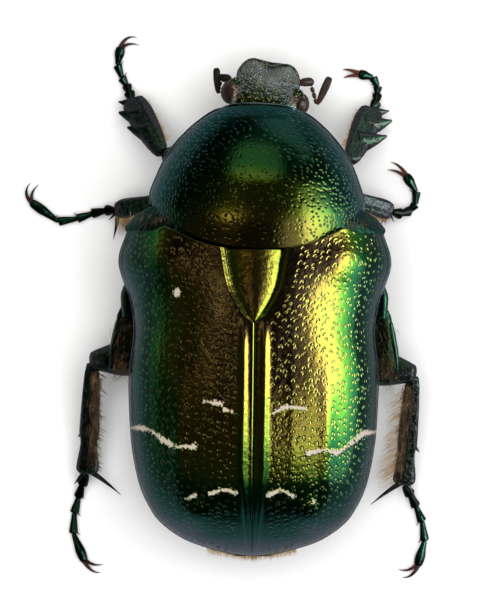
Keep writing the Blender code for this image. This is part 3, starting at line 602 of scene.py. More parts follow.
def pitted(grid, count, radius, deep, seed, where=None):
    """Presses small pits into closed rings, at random places."""
    draw = np.random.default_rng(seed)
    normals = outward_normals(grid)
    flat = grid.reshape(-1, 3)
    depth = np.zeros(len(flat))
    spots = flat[draw.integers(0, len(flat), count)] + draw.normal(0, 0.03, (count, 3))
    for spot in spots:
        if where and not where(spot):
            continue
        size = radius * draw.uniform(0.7, 1.2)
        depth = np.maximum(depth, bump(np.linalg.norm(flat - spot, axis=1), size))
    return grid - normals * (deep * depth).reshape(grid.shape[:2])[..., None]


# Hairs

# Each hair's sides, and its rings as shares of its length and of its radius
HAIR_SIDES = 3
HAIR_STEPS = np.array((0.0, 0.35, 0.7, 1.0))
HAIR_TAPER = np.array((1.0, 0.85, 0.55, 0.12))
# Size of one hair on the unwrap of the skin, which goes from 0 to 1
HAIR_PATCH = (0.0015, 0.003)


def add_hairs(name, roots, tips, sag, radius, places, material, slot):
    """Thin tapered hairs; places are those of their roots on the unwrap of the skin."""
    count, rings = len(roots), len(HAIR_STEPS)
    t = HAIR_STEPS[None, :, None]
    line = roots[:, None] + (tips - roots)[:, None] * t + sag[:, None] * 4 * t * (1 - t)
    along = unit(tips - roots)
    across = unit(np.cross(along, (0.31, 0.17, 0.93)))
    above = np.cross(across, along)
    angle = np.arange(HAIR_SIDES) * 2 * math.pi / HAIR_SIDES
    ring = across[:, None] * np.cos(angle)[None, :, None] + above[:, None] * np.sin(angle)[None, :, None]
    points = line[:, :, None] + ring[:, None] * (radius * HAIR_TAPER)[None, :, None, None]
    last = HAIR_SIDES * rings
    one = [(0, 1, 2)]
    for start in range(0, last - HAIR_SIDES, HAIR_SIDES):
        for j in range(HAIR_SIDES):
            a, b = start + j, start + (j + 1) % HAIR_SIDES
            one.append((a, a + HAIR_SIDES, b + HAIR_SIDES, b))
    one.append((last - 1, last - 2, last - 3))
    faces = [tuple(i + last * hair for i in face) for hair in range(count) for face in one]
    piece = add_piece(name, points, faces, material, None)
    patch = np.zeros((count, rings, HAIR_SIDES, 2))
    patch[..., 0] = (np.arange(HAIR_SIDES) - 1)[None, None] * HAIR_PATCH[0]
    patch[..., 1] = ((HAIR_STEPS - 0.5) * HAIR_PATCH[1])[None, :, None]
    patch = (patch + places[:, None, None]).reshape(-1, 2)
    corners = np.empty(len(piece.data.loops), np.int32)
    piece.data.loops.foreach_get("vertex_index", corners)
    layer = piece.data.uv_layers.new(name="OFBake")
    layer.data.foreach_set("uv", patch[corners].astype(np.float32).ravel())


def fringe(name, line, reach, count, look, seed, width, curl, radius, shorter=0.0):
    """Hairs rooted along a line, all leaning one way; shorter trims those at its start."""
    draw = np.random.default_rng(seed)
    start, end, reach = (np.array(p, float) for p in (*line, reach))
    share = np.sort(draw.random(count))
    size = np.linalg.norm(reach)
    roots = start + (end - start) * share[:, None] + draw.normal(0, width / 2, (count, 3)) * (1, 1, 0.7)
    trim = (1 - shorter * (1 - share)) * draw.uniform(0.55, 1.05, count)
    tips = roots + reach * trim[:, None] + draw.normal(0, curl * size, (count, 3)) * (1, 1, 0.5)
    tips[:, 2] = np.maximum(tips[:, 2], 0.05)
    roots[:, 2] = np.maximum(roots[:, 2], 0.08)
    sag = draw.normal(0, 0.06 * size, (count, 3))
    places = np.stack([0.05 + 0.9 * share, draw.uniform(0.1, 0.9, count)], -1)
    add_hairs(name, roots, tips, sag, radius, places, *look)


# Head, eyes, feelers and mouth

HEAD_TIP_Y = -10.03
HEAD_END_Y = -7.85
HEAD_POWER = 2.8
head_half = curve_through([(HEAD_TIP_Y, 0.72), (-9.99, 0.84), (-9.92, 0.97), (-9.66, 1.18), (-9.33, 1.3),
                           (-9.15, 1.29), (-8.95, 1.25), (-8.7, 1.34), (-8.4, 1.42), (HEAD_END_Y, 1.3)])
head_top = curve_through([(HEAD_TIP_Y, 3.3), (-9.9, 3.42), (-9.4, 3.88), (-8.8, 4.4), (-8.3, 4.66),
                          (HEAD_END_Y, 4.7)])
head_low = curve_through([(HEAD_TIP_Y, 2.98), (-9.6, 2.75), (-9.0, 2.65), (-8.4, 2.7), (HEAD_END_Y, 3.0)])
# Stations of the ridge over the left eye
EYE_RIDGE = ((1.1, -9.08, 3.95, 0.12, 0.1), (1.34, -8.92, 4.0, 0.15, 0.1), (1.52, -8.68, 4.05, 0.1, 0.07))


def head_rings(rows=150, sides=180):
    """Rings of the head with the lip, the dish and the keel of its shield and the notch in front."""
    y = np.interp(np.linspace(0, 1, rows), [0, 0.15, 1], [HEAD_TIP_Y, -9.9, HEAD_END_Y])[:, None]
    top, low = head_top(y), head_low(y)
    waist = (low + top) / 2
    angle = np.linspace(-math.pi / 2, 1.5 * math.pi, sides, endpoint=False)
    upper = np.sin(angle) > 0
    x = head_half(y) * squarish(np.cos(angle), HEAD_POWER)
    z = waist + np.where(upper, top - waist, low - waist) * np.abs(np.sin(angle)) ** (2 / HEAD_POWER)
    side_on = np.abs(x) / (np.abs(x).max(axis=1, keepdims=True) + 1e-6)
    shield = ramp(-y, 9.25, 9.5)
    lip = 0.05 * bump(side_on - 0.96, 0.05) * shield + 0.06 * bump(y + 10.0, 0.04) * shield
    dish = -0.04 * (1 - side_on ** 2) * shield * ramp(-y, 9.3, 9.6)
    keel = 0.05 * bump(x, 0.13) * ramp(y, -9.7, -9.3) * ramp(-y, 8.2, 8.6)
    z = z + np.where(upper, lip + dish + keel, 0)
    notched = y + 0.2 * bump(y - HEAD_TIP_Y, 0.3) * bump(x, 0.38)
    return np.stack([x, notched, z], -1)


def build_head(material, eye_material):
    grid = pitted(head_rings(), 1500, 0.028, 0.03, 21, lambda p: p[2] > 3.2 and p[1] > -9.45)
    grid = pitted(grid, 900, 0.018, 0.012, 22, lambda p: p[2] > 3.2 and p[1] < -9.3)
    skull = Bundle(on_head(grid))
    for side, sign in SIDES.items():
        skull.tube(on_head(limb(on_side(EYE_RIDGE, sign), 20, 14)))
        eye = Bundle(on_head(ellipsoid((sign * 1.36, -8.5, 3.72), (0.44, 0.5, 0.52))))
        eye.piece("eye_ball_" + side, eye_material, ["eye_" + side], "eye_brown")
    skull.tube(on_pronotum(ellipsoid((0, -7.35, 4.75), (2.1, 0.85, 1.0))))
    skull.piece("skull", material, ["head"], "head_black_green")


# Each feeler: stations of its first joint, the ends of its small beads, and the root and tip of its club
ANTENNAE = {
    "left": {
        "scape": [(1.02, -9.08, 3.3, 0.1, 0.1), (1.2, -9.3, 3.25, 0.16, 0.15),
                  (1.38, -9.3, 3.2, 0.17, 0.15), (1.46, -9.2, 3.15, 0.1, 0.1)],
        "beads": [(1.44, -9.16, 3.12), (1.5, -8.98, 3.08), (1.52, -8.82, 3.05), (1.53, -8.68, 3.02)],
        "club": ((1.55, -8.66, 3.0), (1.62, -9.72, 2.98))},
    "right": {
        "scape": [(-1.66, -9.08, 3.3, 0.06, 0.06), (-1.9, -9.16, 3.25, 0.17, 0.15),
                  (-2.12, -9.18, 3.15, 0.18, 0.15), (-2.22, -9.02, 3.08, 0.1, 0.1)],
        "beads": [(-2.2, -8.98, 3.05), (-2.28, -8.76, 3.0), (-2.35, -8.52, 2.95), (-2.42, -8.3, 2.9)],
        "club": ((-2.45, -8.26, 2.88), (-2.94, -9.4, 2.86))},
}


# Share along one plate of the club, and half its width there
CLUB_FORM = ((0, 0.03), (0.2, 0.085), (0.6, 0.1), (0.9, 0.085), (1, 0.05))
CLUB_SPREAD = {"left": 0.05, "right": 0.06}


def build_antennae(material):
    for side, plan in ANTENNAE.items():
        feeler = Bundle(limb(plan["scape"], 30, 20))
        beads = np.array(plan["beads"])
        for start, end in zip(beads, beads[1:]):
            bead = between(start, end, ((0, 0.06, 0.06), (0.5, 0.085, 0.085), (1, 0.06, 0.06)))
            feeler.tube(limb(bead, 14, 14, ends=(0.03, 0.03)))
        root, tip = (np.array(p) for p in plan["club"])
        aside = unit(np.cross(tip - root, (0, 0, 1))) * CLUB_SPREAD[side]
        for k in (-1, 0, 1):
            plate = [(*(root + (tip - root) * t + aside * k * min(1, 2.5 * t)), w, 2.1 * w)
                     for t, w in CLUB_FORM]
            feeler.tube(limb(plate, 30, 18, ends=(0.05, 0.12)))
        feeler.piece("feeler_" + side, material, ["antenna_" + side], "mouth_brown_black")


PALP = ((0.95, -8.7, 2.1, 0.14), (1.08, -9.1, 1.95, 0.2), (1.02, -9.5, 1.85, 0.22), (0.82, -9.8, 1.85, 0.12))


def build_palps(material):
    for side, sign in SIDES.items():
        stations = [(*on_head((x, y, z)), size, size) for x, y, z, size in on_side(PALP, sign)]
        palp = Bundle(limb(stations, 40, 20))
        palp.piece("palp_bead_" + side, material, ["palp_" + side], "mouth_brown_black")


# Stations of the plates on the left side: behind the shoulder, over the hind thigh, and the hip inside it
SHOULDER_STRIP = ((5.12, -1.0, 4.3, 0.1, 0.3), (5.2, -0.5, 4.25, 0.16, 0.4), (5.16, 0.35, 4.2, 0.12, 0.3))
THIGH_STRIP = ((5.46, 0.4, 3.4, 0.08, 0.2), (5.6, 1.1, 3.3, 0.11, 0.3), (5.72, 1.8, 3.2, 0.1, 0.3),
               (5.78, 2.45, 3.1, 0.07, 0.2))
HIP_FACE = ((4.95, 0.0, 3.4, 0.4, 0.2), (5.1, 0.4, 3.4, 0.42, 0.2), (5.2, 1.2, 3.35, 0.42, 0.22),
            (5.3, 2.0, 3.25, 0.45, 0.2), (5.35, 2.5, 3.15, 0.36, 0.15))


def build_side_plates(dark, green):
    """The plates that show beside the wing cases."""
    for side, sign in SIDES.items():
        strips = (limb(on_side(strip, sign), 40, 24) for strip in (SHOULDER_STRIP, THIGH_STRIP))
        Bundle(*strips).piece("side_plates_" + side, green, None, "underside_black_green")
        face = Bundle(limb(on_side(HIP_FACE, sign), 50, 30))
        face.piece("coxa_face_" + side, dark, None, "underside_black_green")


def smooth_copy(node, name, material, edge=0.09):
    """A smooth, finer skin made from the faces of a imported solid, its edges rounded by this much."""
    source = bpy.data.objects[node]
    mesh = source.data.copy()
    mesh.transform(source.matrix_world)
    body = bmesh.new()
    body.from_mesh(mesh)
    bmesh.ops.remove_doubles(body, verts=body.verts, dist=0.005 * MM)
    bmesh.ops.dissolve_limit(body, angle_limit=math.radians(1), verts=body.verts, edges=body.edges)
    body.to_mesh(mesh)
    body.free()
    skin = new_object(name, mesh)
    rounder = skin.modifiers.new("rounder", "BEVEL")
    rounder.width = edge * MM
    rounder.segments = 2
    rounder.limit_method = "ANGLE"
    rounder.angle_limit = math.radians(25)
    skin.modifiers.new("finer", "SUBSURF").levels = 2
    graph = bpy.context.evaluated_depsgraph_get()
    skin.data = bpy.data.meshes.new_from_object(skin.evaluated_get(graph))
    skin.modifiers.clear()
    skin.data.shade_smooth()
    skin.data.materials.clear()
    skin.data.materials.append(material)
    bpy.data.meshes.remove(mesh)
    dress(skin, [node])


# Stations of the skin behind the neck shield, before the abdomen and before the tail
JOINTS = (((0, -4.5, 4.5, 3.2, 1.4), (0, -3.5, 4.5, 3.45, 1.65), (0, -2.4, 4.7, 3.6, 1.9)),
          ((0, -0.5, 4.55, 4.45, 2.7), (0, 0.3, 4.55, 4.6, 2.85), (0, 0.9, 4.55, 4.45, 2.7)),
          ((0, 8.1, 3.4, 2.7, 0.4), (0, 8.8, 3.37, 2.8, 0.46), (0, 9.3, 3.35, 2.7, 0.4)))


def build_joint_skin(material):
    """Dark skin inside the narrow gaps between the solids of the body."""
    joints = Bundle(*(limb(stations, 30, 60, power=2.6) for stations in JOINTS))
    joints.piece("joint_skin", material, None, "underside_black_green")


# Scutellum and shoulder plates

SCUTELLUM_FRONT_Y = -2.4
SCUTELLUM_TIP_Y = 0.42
SCUTELLUM_ARCH = 0.28
SCUTELLUM_FOLD = ((-0.01, 0, -0.05), (-0.02, 0, -0.4))


def build_scutellum(material):
    outline = curve_through([(SCUTELLUM_FRONT_Y, 1.16), (-1.0, 0.86), (0.0, 0.34), (0.34, 0.1),
                             (SCUTELLUM_TIP_Y, 0.02)])
    rows = np.linspace(SCUTELLUM_FRONT_Y, SCUTELLUM_TIP_Y, 90)
    y, u = np.meshgrid(rows, np.linspace(-1, 1, 70), indexing="ij")
    z = elytra_top(y) - 0.04 - SCUTELLUM_ARCH * outline(y) * u ** 2
    grid = hemmed(np.stack([u * outline(y), y, z], -1), mirrored(SCUTELLUM_FOLD), SCUTELLUM_FOLD, 1)
    add_piece("scutellum_plate", grid, grid_faces(*grid.shape[:2], flip=True), material, ["scutellum"])


# Front and rear edge of a shoulder plate, outward from the neck shield: share, x, y and z
SHOULDER_EDGES = (
    ((0, 3.2, -3.8, 6.9), (0.35, 4.0, -4.1, 6.0), (0.7, 4.78, -3.74, 5.25), (1, 5.1, -3.42, 4.85)),
    ((0, 3.2, -3.22, 6.95), (0.35, 4.0, -3.0, 6.35), (0.7, 4.72, -2.95, 5.8), (1, 5.14, -3.06, 5.1)))
SHOULDER_FOLD = ((-0.01, 0, -0.1), (-0.1, 0, -0.35), (-0.5, 0, -0.5))


def build_shoulders(material):
    s = np.linspace(0, 1, 70)
    t = np.linspace(0, 1, 50)[:, None]
    front, rear = (columns_through(edge[:, 0], edge[:, 1:], s) for edge in np.array(SHOULDER_EDGES))
    grid = front[None] * (1 - t[..., None]) + rear[None] * t[..., None]
    grid[..., 2] += 0.16 * np.sin(math.pi * t) ** 0.7 * (0.4 + 0.6 * s)
    grid[..., 0] += 0.08 * np.sin(math.pi * t) * ramp(s, 0.6, 1)
    grid = hemmed(grid, (), SHOULDER_FOLD, 1)
    grid = hemmed(grid, [(0, 0.06, -0.3)], [(0, -0.05, -0.3)], 0)
    for side, sign in SIDES.items():
        add_piece("shoulder_plate_" + side, grid * (sign, 1, 1), grid_faces(*grid.shape[:2], flip=sign > 0),
                  material, ["mesepimeron_" + side])


# Legs

# Each leg: its hip, and in plan its knee, ankle and claw tips, and the ends of the foot's beads
LEGS = {
    ("fore", "left"): ((1.35, -6.05, 1.9), (3.72, -6.16), (5.0, -8.4), (4.8, -10.85),
                       (5.14, -8.72), (5.24, -9.0), (5.45, -9.35), (5.63, -9.85), (5.5, -10.6)),
    ("fore", "right"): ((-1.45, -6.0, 1.9), (-3.76, -5.92), (-4.66, -8.12), (-3.5, -9.55),
                        (-4.84, -8.42), (-4.88, -8.75), (-4.9, -9.1), (-4.7, -9.45), (-4.1, -9.6)),
    ("mid", "left"): ((1.75, -2.6, 1.5), (3.18, -4.48), (5.62, -3.97), (8.95, -5.1),
                      (6.0, -3.97), (6.57, -3.84), (7.2, -3.62), (7.95, -3.5), (9.1, -4.3)),
    ("mid", "right"): ((-1.75, -2.6, 1.5), (-3.38, -4.72), (-5.5, -4.02), (-5.35, -5.85),
                       (-5.86, -3.95), (-6.22, -4.06), (-6.48, -4.35), (-6.5, -4.85), (-6.05, -5.55)),
    ("hind", "left"): ((1.5, 1.7, 1.15), (6.48, 2.08), (6.67, 6.68), (5.95, 10.5),
                       (6.88, 7.08), (7.02, 7.6), (7.19, 8.28), (7.22, 9.1), (6.75, 10.25)),
    ("hind", "right"): ((-1.5, 1.7, 1.15), (-6.41, 2.48), (-6.1, 7.0), (-5.85, 10.7),
                        (-6.36, 7.36), (-6.6, 7.84), (-6.87, 8.48), (-6.98, 9.25), (-6.7, 10.3)),
}
FEMUR_WIDE = {"fore": 1.1, "mid": 1.1, "hind": 1.55}
HIP_SLOTS = {"fore": "foot_brown_black", "mid": "foot_brown_black", "hind": "underside_black_green"}
KNEE_Z = 2.75
ANKLE_Z = {"fore": 0.8, "mid": 0.95, "hind": 0.95}
FOOT_Z = 0.24
CLAW_Z = 0.1
# Share along a thigh, and its width and height there as shares of its greatest width
THIGH_FORM = ((0, 0.5, 0.45), (0.15, 0.78, 0.52), (0.45, 1.0, 0.54), (0.75, 0.92, 0.5), (0.93, 0.62, 0.42),
              (1.02, 0.4, 0.4))
# Share along each kind of shin, and half its width there
SHIN_WIDE = {
    "fore": ((0.03, 0.22), (0.15, 0.36), (0.45, 0.5), (0.75, 0.56), (0.93, 0.5), (1.0, 0.4)),
    "mid": ((0.03, 0.2), (0.15, 0.26), (0.5, 0.33), (0.85, 0.4), (1.0, 0.3)),
    "hind": ((0.02, 0.22), (0.12, 0.3), (0.45, 0.38), (0.62, 0.4), (0.72, 0.34), (0.95, 0.46), (1.0, 0.32)),
}
# The teeth and spurs of each shin: share along it, the tip in plan, and half the width of the root
TEETH = {
    ("fore", "left"): [(0.42, (5.2, -7.32), 0.5), (0.72, (5.56, -7.92), 0.52), (1.0, (5.58, -8.36), 0.28)],
    ("fore", "right"): [(0.4, (-5.29, -7.07), 0.5), (0.7, (-5.49, -7.7), 0.52), (1.0, (-5.38, -8.1), 0.28)],
    ("mid", "left"): [(0.98, (5.72, -2.8), 0.12), (1.0, (5.93, -3.56), 0.1)],
    ("mid", "right"): [(0.98, (-5.05, -3.46), 0.1), (1.0, (-5.62, -3.6), 0.08)],
    ("hind", "left"): [(0.62, (7.06, 5.18), 0.2), (0.96, (5.3, 7.52), 0.13), (0.98, (7.2, 7.1), 0.14)],
    ("hind", "right"): [(0.62, (-6.72, 5.66), 0.2), (0.96, (-4.76, 7.82), 0.13), (0.98, (-6.62, 7.58), 0.14)],
}


def leg_points(pair, side):
    """Hip, knee, ankle, ends of the beads and claw tips of a leg, with their heights."""
    hip, knee, ankle, claw_to, *foot = LEGS[(pair, side)]
    ankle = np.array((*ankle, ANKLE_Z[pair]))
    foot = [np.array((*place, FOOT_Z)) for place in foot]
    foot[0][2] = (ankle[2] + FOOT_Z) / 2
    return np.array(hip), np.array((*knee, KNEE_Z)), ankle, foot, np.array((*claw_to, CLAW_Z))


def shin_grid(knee, ankle, pair):
    """A shin with fine ridges along its upper side."""
    along = ankle - knee
    rows = [(share, wide, (0.62 if share > 0.1 else 0.9) * wide) for share, wide in SHIN_WIDE[pair]]
    grid = limb(between(knee, ankle, rows), 90, 44, power=2.5)
    outward = np.array((along[1], -along[0], 0)) / np.linalg.norm(along[:2])
    normals = outward_normals(grid)
    ridge = 0.012 * np.cos((grid - knee) @ outward * 22) * (normals[..., 2] > 0.2)
    return grid + normals * ridge[..., None]


def build_leg(pair, side, leg_material, foot_material, claw_material):
    hip, knee, ankle, foot, claw_to = leg_points(pair, side)
    name = pair + "_" + side
    seed = 31 + 7 * list(LEGS).index((pair, side))
    size = FEMUR_WIDE[pair] / 2
    rows = [(share, size * wide, size * high) for share, wide, high in THIGH_FORM]
    thigh = Bundle(pitted(limb(between(hip, knee, rows), 70, 40, power=2.3), 260, 0.03, 0.02, seed))
    thigh.piece("thigh_" + name, leg_material, ["femur_" + name], "leg_black_green")
    shin = Bundle(pitted(shin_grid(knee, ankle, pair), 420, 0.04, 0.03, seed + 1))
    along = ankle - knee
    for share, tip, half in TEETH[(pair, side)]:
        root = knee + along * min(share, 0.97)
        tip = np.array((*tip, max(root[2] - 0.15, 0.2)))
        shin.tube(spike(root, 0.5 * (root + tip) - unit(along) * 0.1, tip, half, half * 0.7))
    shin.piece("shin_" + name, leg_material, ["tibia_" + name], "leg_black_green")
    build_foot(name, ankle, foot, claw_to, foot_material, claw_material)


# Half the widths of the first four beads of a foot, and share and half width along the last one
BEAD_WIDE = (0.23, 0.2, 0.185, 0.18)
CLAW_BEAD = ((0.0, 0.09), (0.3, 0.14), (0.65, 0.2), (0.9, 0.17), (1.0, 0.11))
CLAW_LENGTH = 0.75
CLAW_SPREAD = 0.14


def build_foot(name, ankle, foot, claw_to, material, claw_material):
    """Five beads, each wider at its far end, with bristles there, and a pair of curved claws."""
    joints = [ankle + (foot[0] - ankle) * 0.1] + foot
    beads, claws = Bundle(), Bundle()
    forms = [((0.0, 0.1), (0.25, 0.65 * wide), (0.7, 0.9 * wide), (0.95, wide), (1.03, 0.12))
             for wide in BEAD_WIDE]
    for start, end, form in zip(joints, joints[1:], forms + [CLAW_BEAD]):
        rows = [(share, wide, wide * 0.95) for share, wide in form]
        beads.tube(limb(between(start, end, rows), 34, 22, ends=(0.04, 0.06)))
        ahead = unit(end - start)
        aside = np.array((-ahead[1], ahead[0], 0))
        aside = aside if aside @ (claw_to - ankle) > 0 else -aside
        for lift in (-0.06, 0.06) if form is not CLAW_BEAD else ():
            root = start + (end - start) * 0.92 + aside * 0.1 + (0, 0, lift)
            tip = root + aside * 0.2 + ahead * 0.12
            claws.tube(spike(root, (root + tip) / 2, tip, 0.035, 0.035, 8, 7))
    inner = claw_to - end
    length = np.linalg.norm(inner)
    for turn, spread in ((-1, 1.5), (1, 1.0)):
        aside = np.array((-inner[1], inner[0], 0)) / length * CLAW_SPREAD * turn
        root = end - ahead * 0.08 + aside * 0.3
        middle = end + ahead * 0.3 + inner * 0.25 + aside
        tip = end + inner * min(1, CLAW_LENGTH / length) + aside * spread
        root[2], middle[2], tip[2] = 0.24, 0.3, 0.08
        claws.tube(spike(root, middle, tip, 0.085, 0.09, 30, 14, sharp=0.1))
    beads.piece("toes_" + name, material, ["tarsus_" + name], "foot_brown_black")
    claws.piece("claws_" + name, claw_material, None, "foot_brown_black")


def shin_line(pair, side, first, last, shift=(0, 0, 0)):
    """A line between two shares of a shin's length, moved aside."""
    hip, knee, ankle, foot, claw_to = leg_points(pair, side)
    return [knee + (ankle - knee) * share + shift for share in (first, last)]


def build_hind_hairs(side, sign, gold_leg, brown_leg):
    line = shin_line("hind", side, 0.1, 0.93, (-sign * 0.3, 0, 0))
    if side == "left":
        fringe("hind_bristles_left", line, (-0.34, 0.22, 0), 26, brown_leg, 61,
               width=0.05, curl=0.1, radius=0.02)
    else:
        fringe("hind_fringe_right", line, (1.0, 0.62, -0.1), 230, gold_leg, 62,
               width=0.06, curl=0.08, radius=0.009, shorter=0.5)
    mat = [line[0] + (sign * 0.14, 0, 0.2), line[1] + (sign * 0.14, -0.2, 0.2)]
    fringe("hind_mat_" + side, mat, (-sign * 0.05, 0.42, 0.06), 900, brown_leg, 63 + sign,
           width=0.22, curl=0.07, radius=0.008)


def build_hairs(gold, brown):
    """Brushes and fringes of the legs, and the down beside the shoulders, eyes and tail."""
    gold_leg, brown_leg = (gold, "leg_black_green"), (brown, "leg_black_green")
    brown_under = (brown, "underside_black_green")
    for side, sign in SIDES.items():
        fringe("tail_fringe_" + side, [(0, 9.78, 3.7), (sign * 1.75, 9.5, 4.0)], (0, 0.3, -0.05), 420,
               (gold, "pygidium_bronze"), 75 + sign, width=0.08, curl=0.12, radius=0.008)
    for side, sign in SIDES.items():
        build_hind_hairs(side, sign, gold_leg, brown_leg)
        reach = (0, 0.95, -0.3) if side == "left" else (0, 0.55, -0.2)
        fringe("mid_brush_" + side, shin_line("mid", side, 0.5, 0.93), reach, 520, gold_leg, 65 + sign,
               width=0.14, curl=0.05, radius=0.009)
        line = shin_line("fore", side, 0.2, 0.9, (-sign * 0.36, -0.15, 0))
        fringe("fore_fringe_" + side, line, (-sign * 0.2, -0.12, 0.02), 260, gold_leg, 67 + sign,
               width=0.07, curl=0.12, radius=0.008)
        line = on_side([(5.15, 0.5, 3.55), (5.3, 2.5, 3.35)], sign)
        fringe("coxa_down_" + side, line, (sign * 0.1, 0.35, 0.12), 420, brown_under, 71 + sign,
               width=0.4, curl=0.2, radius=0.008)
        line = on_head(on_side([(1.2, -8.75, 4.3), (1.12, -8.15, 4.5)], sign))
        fringe("eye_down_" + side, line, (sign * 0.1, -0.03, 0.05), 50, (gold, "head_black_green"),
               73 + sign, width=0.08, curl=0.3, radius=0.006)
        line = on_side([(3.4, -3.6, 6.85), (4.5, -3.45, 5.95)], sign)
        fringe("shoulder_down_" + side, line, (sign * 0.05, 0.22, 0.06), 110, brown_under, 69 + sign,
               width=0.3, curl=0.25, radius=0.008)


# Materials

class Look:
    """The nodes of a material or of the world, with short ways to add more."""

    def __init__(self, owner):
        owner.use_nodes = True
        self.owner = owner
        self.nodes = owner.node_tree.nodes
        self.links = owner.node_tree.links

    def fill(self, node, values):
        """Sets sockets of a node, each from a link or to a plain number or colour."""
        for socket, value in values.items():
            if isinstance(value, bpy.types.NodeSocket):
                self.links.new(value, node.inputs[socket])
            else:
                node.inputs[socket].default_value = value

    def shade(self, values):
        self.fill(self.nodes["Principled BSDF"], values)

    def add(self, kind, values=None, **settings):
        node = self.nodes.new("ShaderNode" + kind)
        for name, setting in settings.items():
            setattr(node, name, setting)
        self.fill(node, values or {})
        return node

    def maths(self, operation, *values):
        return self.add("Math", dict(enumerate(values)), operation=operation).outputs[0]

    def place(self):
        return self.add("TexCoord").outputs["Object"]

    def noise(self, scale, detail):
        values = {"Scale": scale, "Detail": detail, "Vector": self.place()}
        return self.add("TexNoise", values).outputs["Fac"]

    def attribute(self, name):
        return self.add("Attribute", attribute_name=name).outputs["Fac"]

    def ramp(self, level, stops):
        """The colour at this level, between stops of position, red, green and blue."""
        node = self.add("ValToRGB", {"Fac": level})
        elements = node.color_ramp.elements
        elements.remove(elements[-1])
        for k, (position, *colour) in enumerate(stops):
            element = elements.new(position) if k else elements[0]
            element.position = position
            element.color = (*colour, 1)
        return node.outputs["Color"]

    def cover(self, share, below, above):
        """Colour below, covered by the colour above in this share."""
        values = {"Factor": share, "A": below, "B": above}
        return self.add("Mix", values, data_type="RGBA").outputs["Result"]

    def relief(self, height, high, above, strength=1.0):
        """A relief this many millimetres high, under the layer or shader above it."""
        layer = self.add("Bump", {"Strength": strength, "Distance": high * MM, "Height": height})
        self.links.new(layer.outputs["Normal"], above.inputs["Normal"])
        return layer

    def pits(self, above, apart, deep):
        """Adds small round pits, this far apart in millimetres, under the layer above."""
        cells = self.add("TexVoronoi", {"Scale": 1 / (apart * MM), "Vector": self.place()})
        bowl = self.ramp(cells.outputs["Distance"], PIT_BOWL)
        self.relief(bowl, deep, above)
        return bowl


def metal(name, roughness=0.2, grain=0.003, waves=0.03, lean=0.0, drift=0.12):
    """Metallic cuticle without a hue, and how level it lies, which picks the hue with its painted
    sheen; lean moves that on front slopes, to paint their reflections another colour.
    """
    look = Look(bpy.data.materials.new(name))
    look.shade({"Metallic": 1.0, "Roughness": roughness, "Coat Weight": 0.25, "Coat Roughness": 0.1})
    split = look.add("SeparateXYZ", {0: look.add("NewGeometry").outputs["Normal"]})
    level = look.maths("MULTIPLY_ADD", split.outputs["Y"], lean, split.outputs["Z"])
    level = look.maths("MULTIPLY_ADD", look.noise(400, 4), drift, level)
    level = look.maths("SUBTRACT", level, drift / 2)
    fine = look.relief(look.noise(22000, 3), grain, look.nodes["Principled BSDF"])
    swell = look.relief(look.noise(5200, 2), waves, fine)
    return look, level, swell


def chitin(name, stops, pits=None, pit_glint=None, **sizes):
    """Metallic cuticle whose hue follows how steep the surface stands, with or without pits: an
    iridescent hue partly painted with highlight and shade colours by slope, and glints that
    can be painted into the pits.
    """
    look, level, swell = metal(name, **sizes)
    hue = look.ramp(level, stops)
    if pits:
        bowl = look.pits(swell, *pits)
    # Paints the glint colour into the pits, where the bowl is low
    if pit_glint:
        hue = look.cover(look.maths("SUBTRACT", 1.0, bowl), hue, pit_glint)
    look.shade({"Base Color": hue})
    return look.owner


def stamped_chitin(name, stops, painted_pit_stops, roughness, lean, waves, marks=False):
    """Cuticle of the wing cases and the neck shield, which know their pits, rims and pale marks.
    The pits take painted glints, and on the neck shield painted shade where the highlight
    falls; the rims take the painted edge-on colour of steep slopes.
    """
    look, level, swell = metal(name, lean=lean, waves=waves)
    pit = look.attribute("pit")
    # Rims move toward the level of steep slopes and take their painted edge-on reflection colour
    level = look.maths("MULTIPLY_ADD", look.attribute("rim"), -0.9, level)
    # The slope hue, with the painted glint and shade colours of the pits over it
    colour = look.cover(pit, look.ramp(level, stops), look.ramp(level, painted_pit_stops))
    rough = look.maths("MULTIPLY_ADD", pit, 0.08, roughness)
    if marks:
        mark = look.attribute("mark")
        colour = look.cover(mark, colour, MARK_COLOUR)
        rough = look.maths("MULTIPLY_ADD", mark, 0.6, rough)
        look.shade({"Metallic": look.maths("SUBTRACT", 1.0, mark)})
    look.shade({"Base Color": colour, "Roughness": rough})
    return look.owner


def horn(name, stops, roughness, scale=900, coat=0.0, pits=None):
    """Plain cuticle, hair or eye, whose colour wanders between a few browns."""
    look = Look(bpy.data.materials.new(name))
    noise = look.noise(scale, 3)
    look.shade({"Base Color": look.ramp(noise, stops), "Roughness": roughness, "Coat Weight": coat})
    relief = look.relief(noise, 0.01, look.nodes["Principled BSDF"], strength=0.2)
    if pits:
        look.pits(relief, *pits)
    return look.owner


# Colours: those of hues and stops start with their place on the ramp.
# The hues of the metallic cuticles go by how level the surface lies: partly their own
# iridescent green and gold, partly painted light, as the lamps' highlight colours, painted
# shade and the pale reflection of the floor, each set at the slopes where it falls.
MARK_COLOUR = (0.55, 0.47, 0.38, 1)
PIT_BOWL = [(0.0, 0, 0, 0), (0.28, 0.2, 0.2, 0.2), (0.42, 1, 1, 1)]
# Pit colours of the wing cases by slope: painted glints, brighter than the surface round them
PIT_GLINT_HUES = [
    (0.0, 0.3, 0.38, 0.45), (0.4, 0.16, 0.42, 0.4), (0.62, 0.2, 0.42, 0.2), (0.8, 0.45, 0.55, 0.14),
    (0.9, 0.7, 0.7, 0.18), (1.0, 1.0, 0.86, 0.32)]
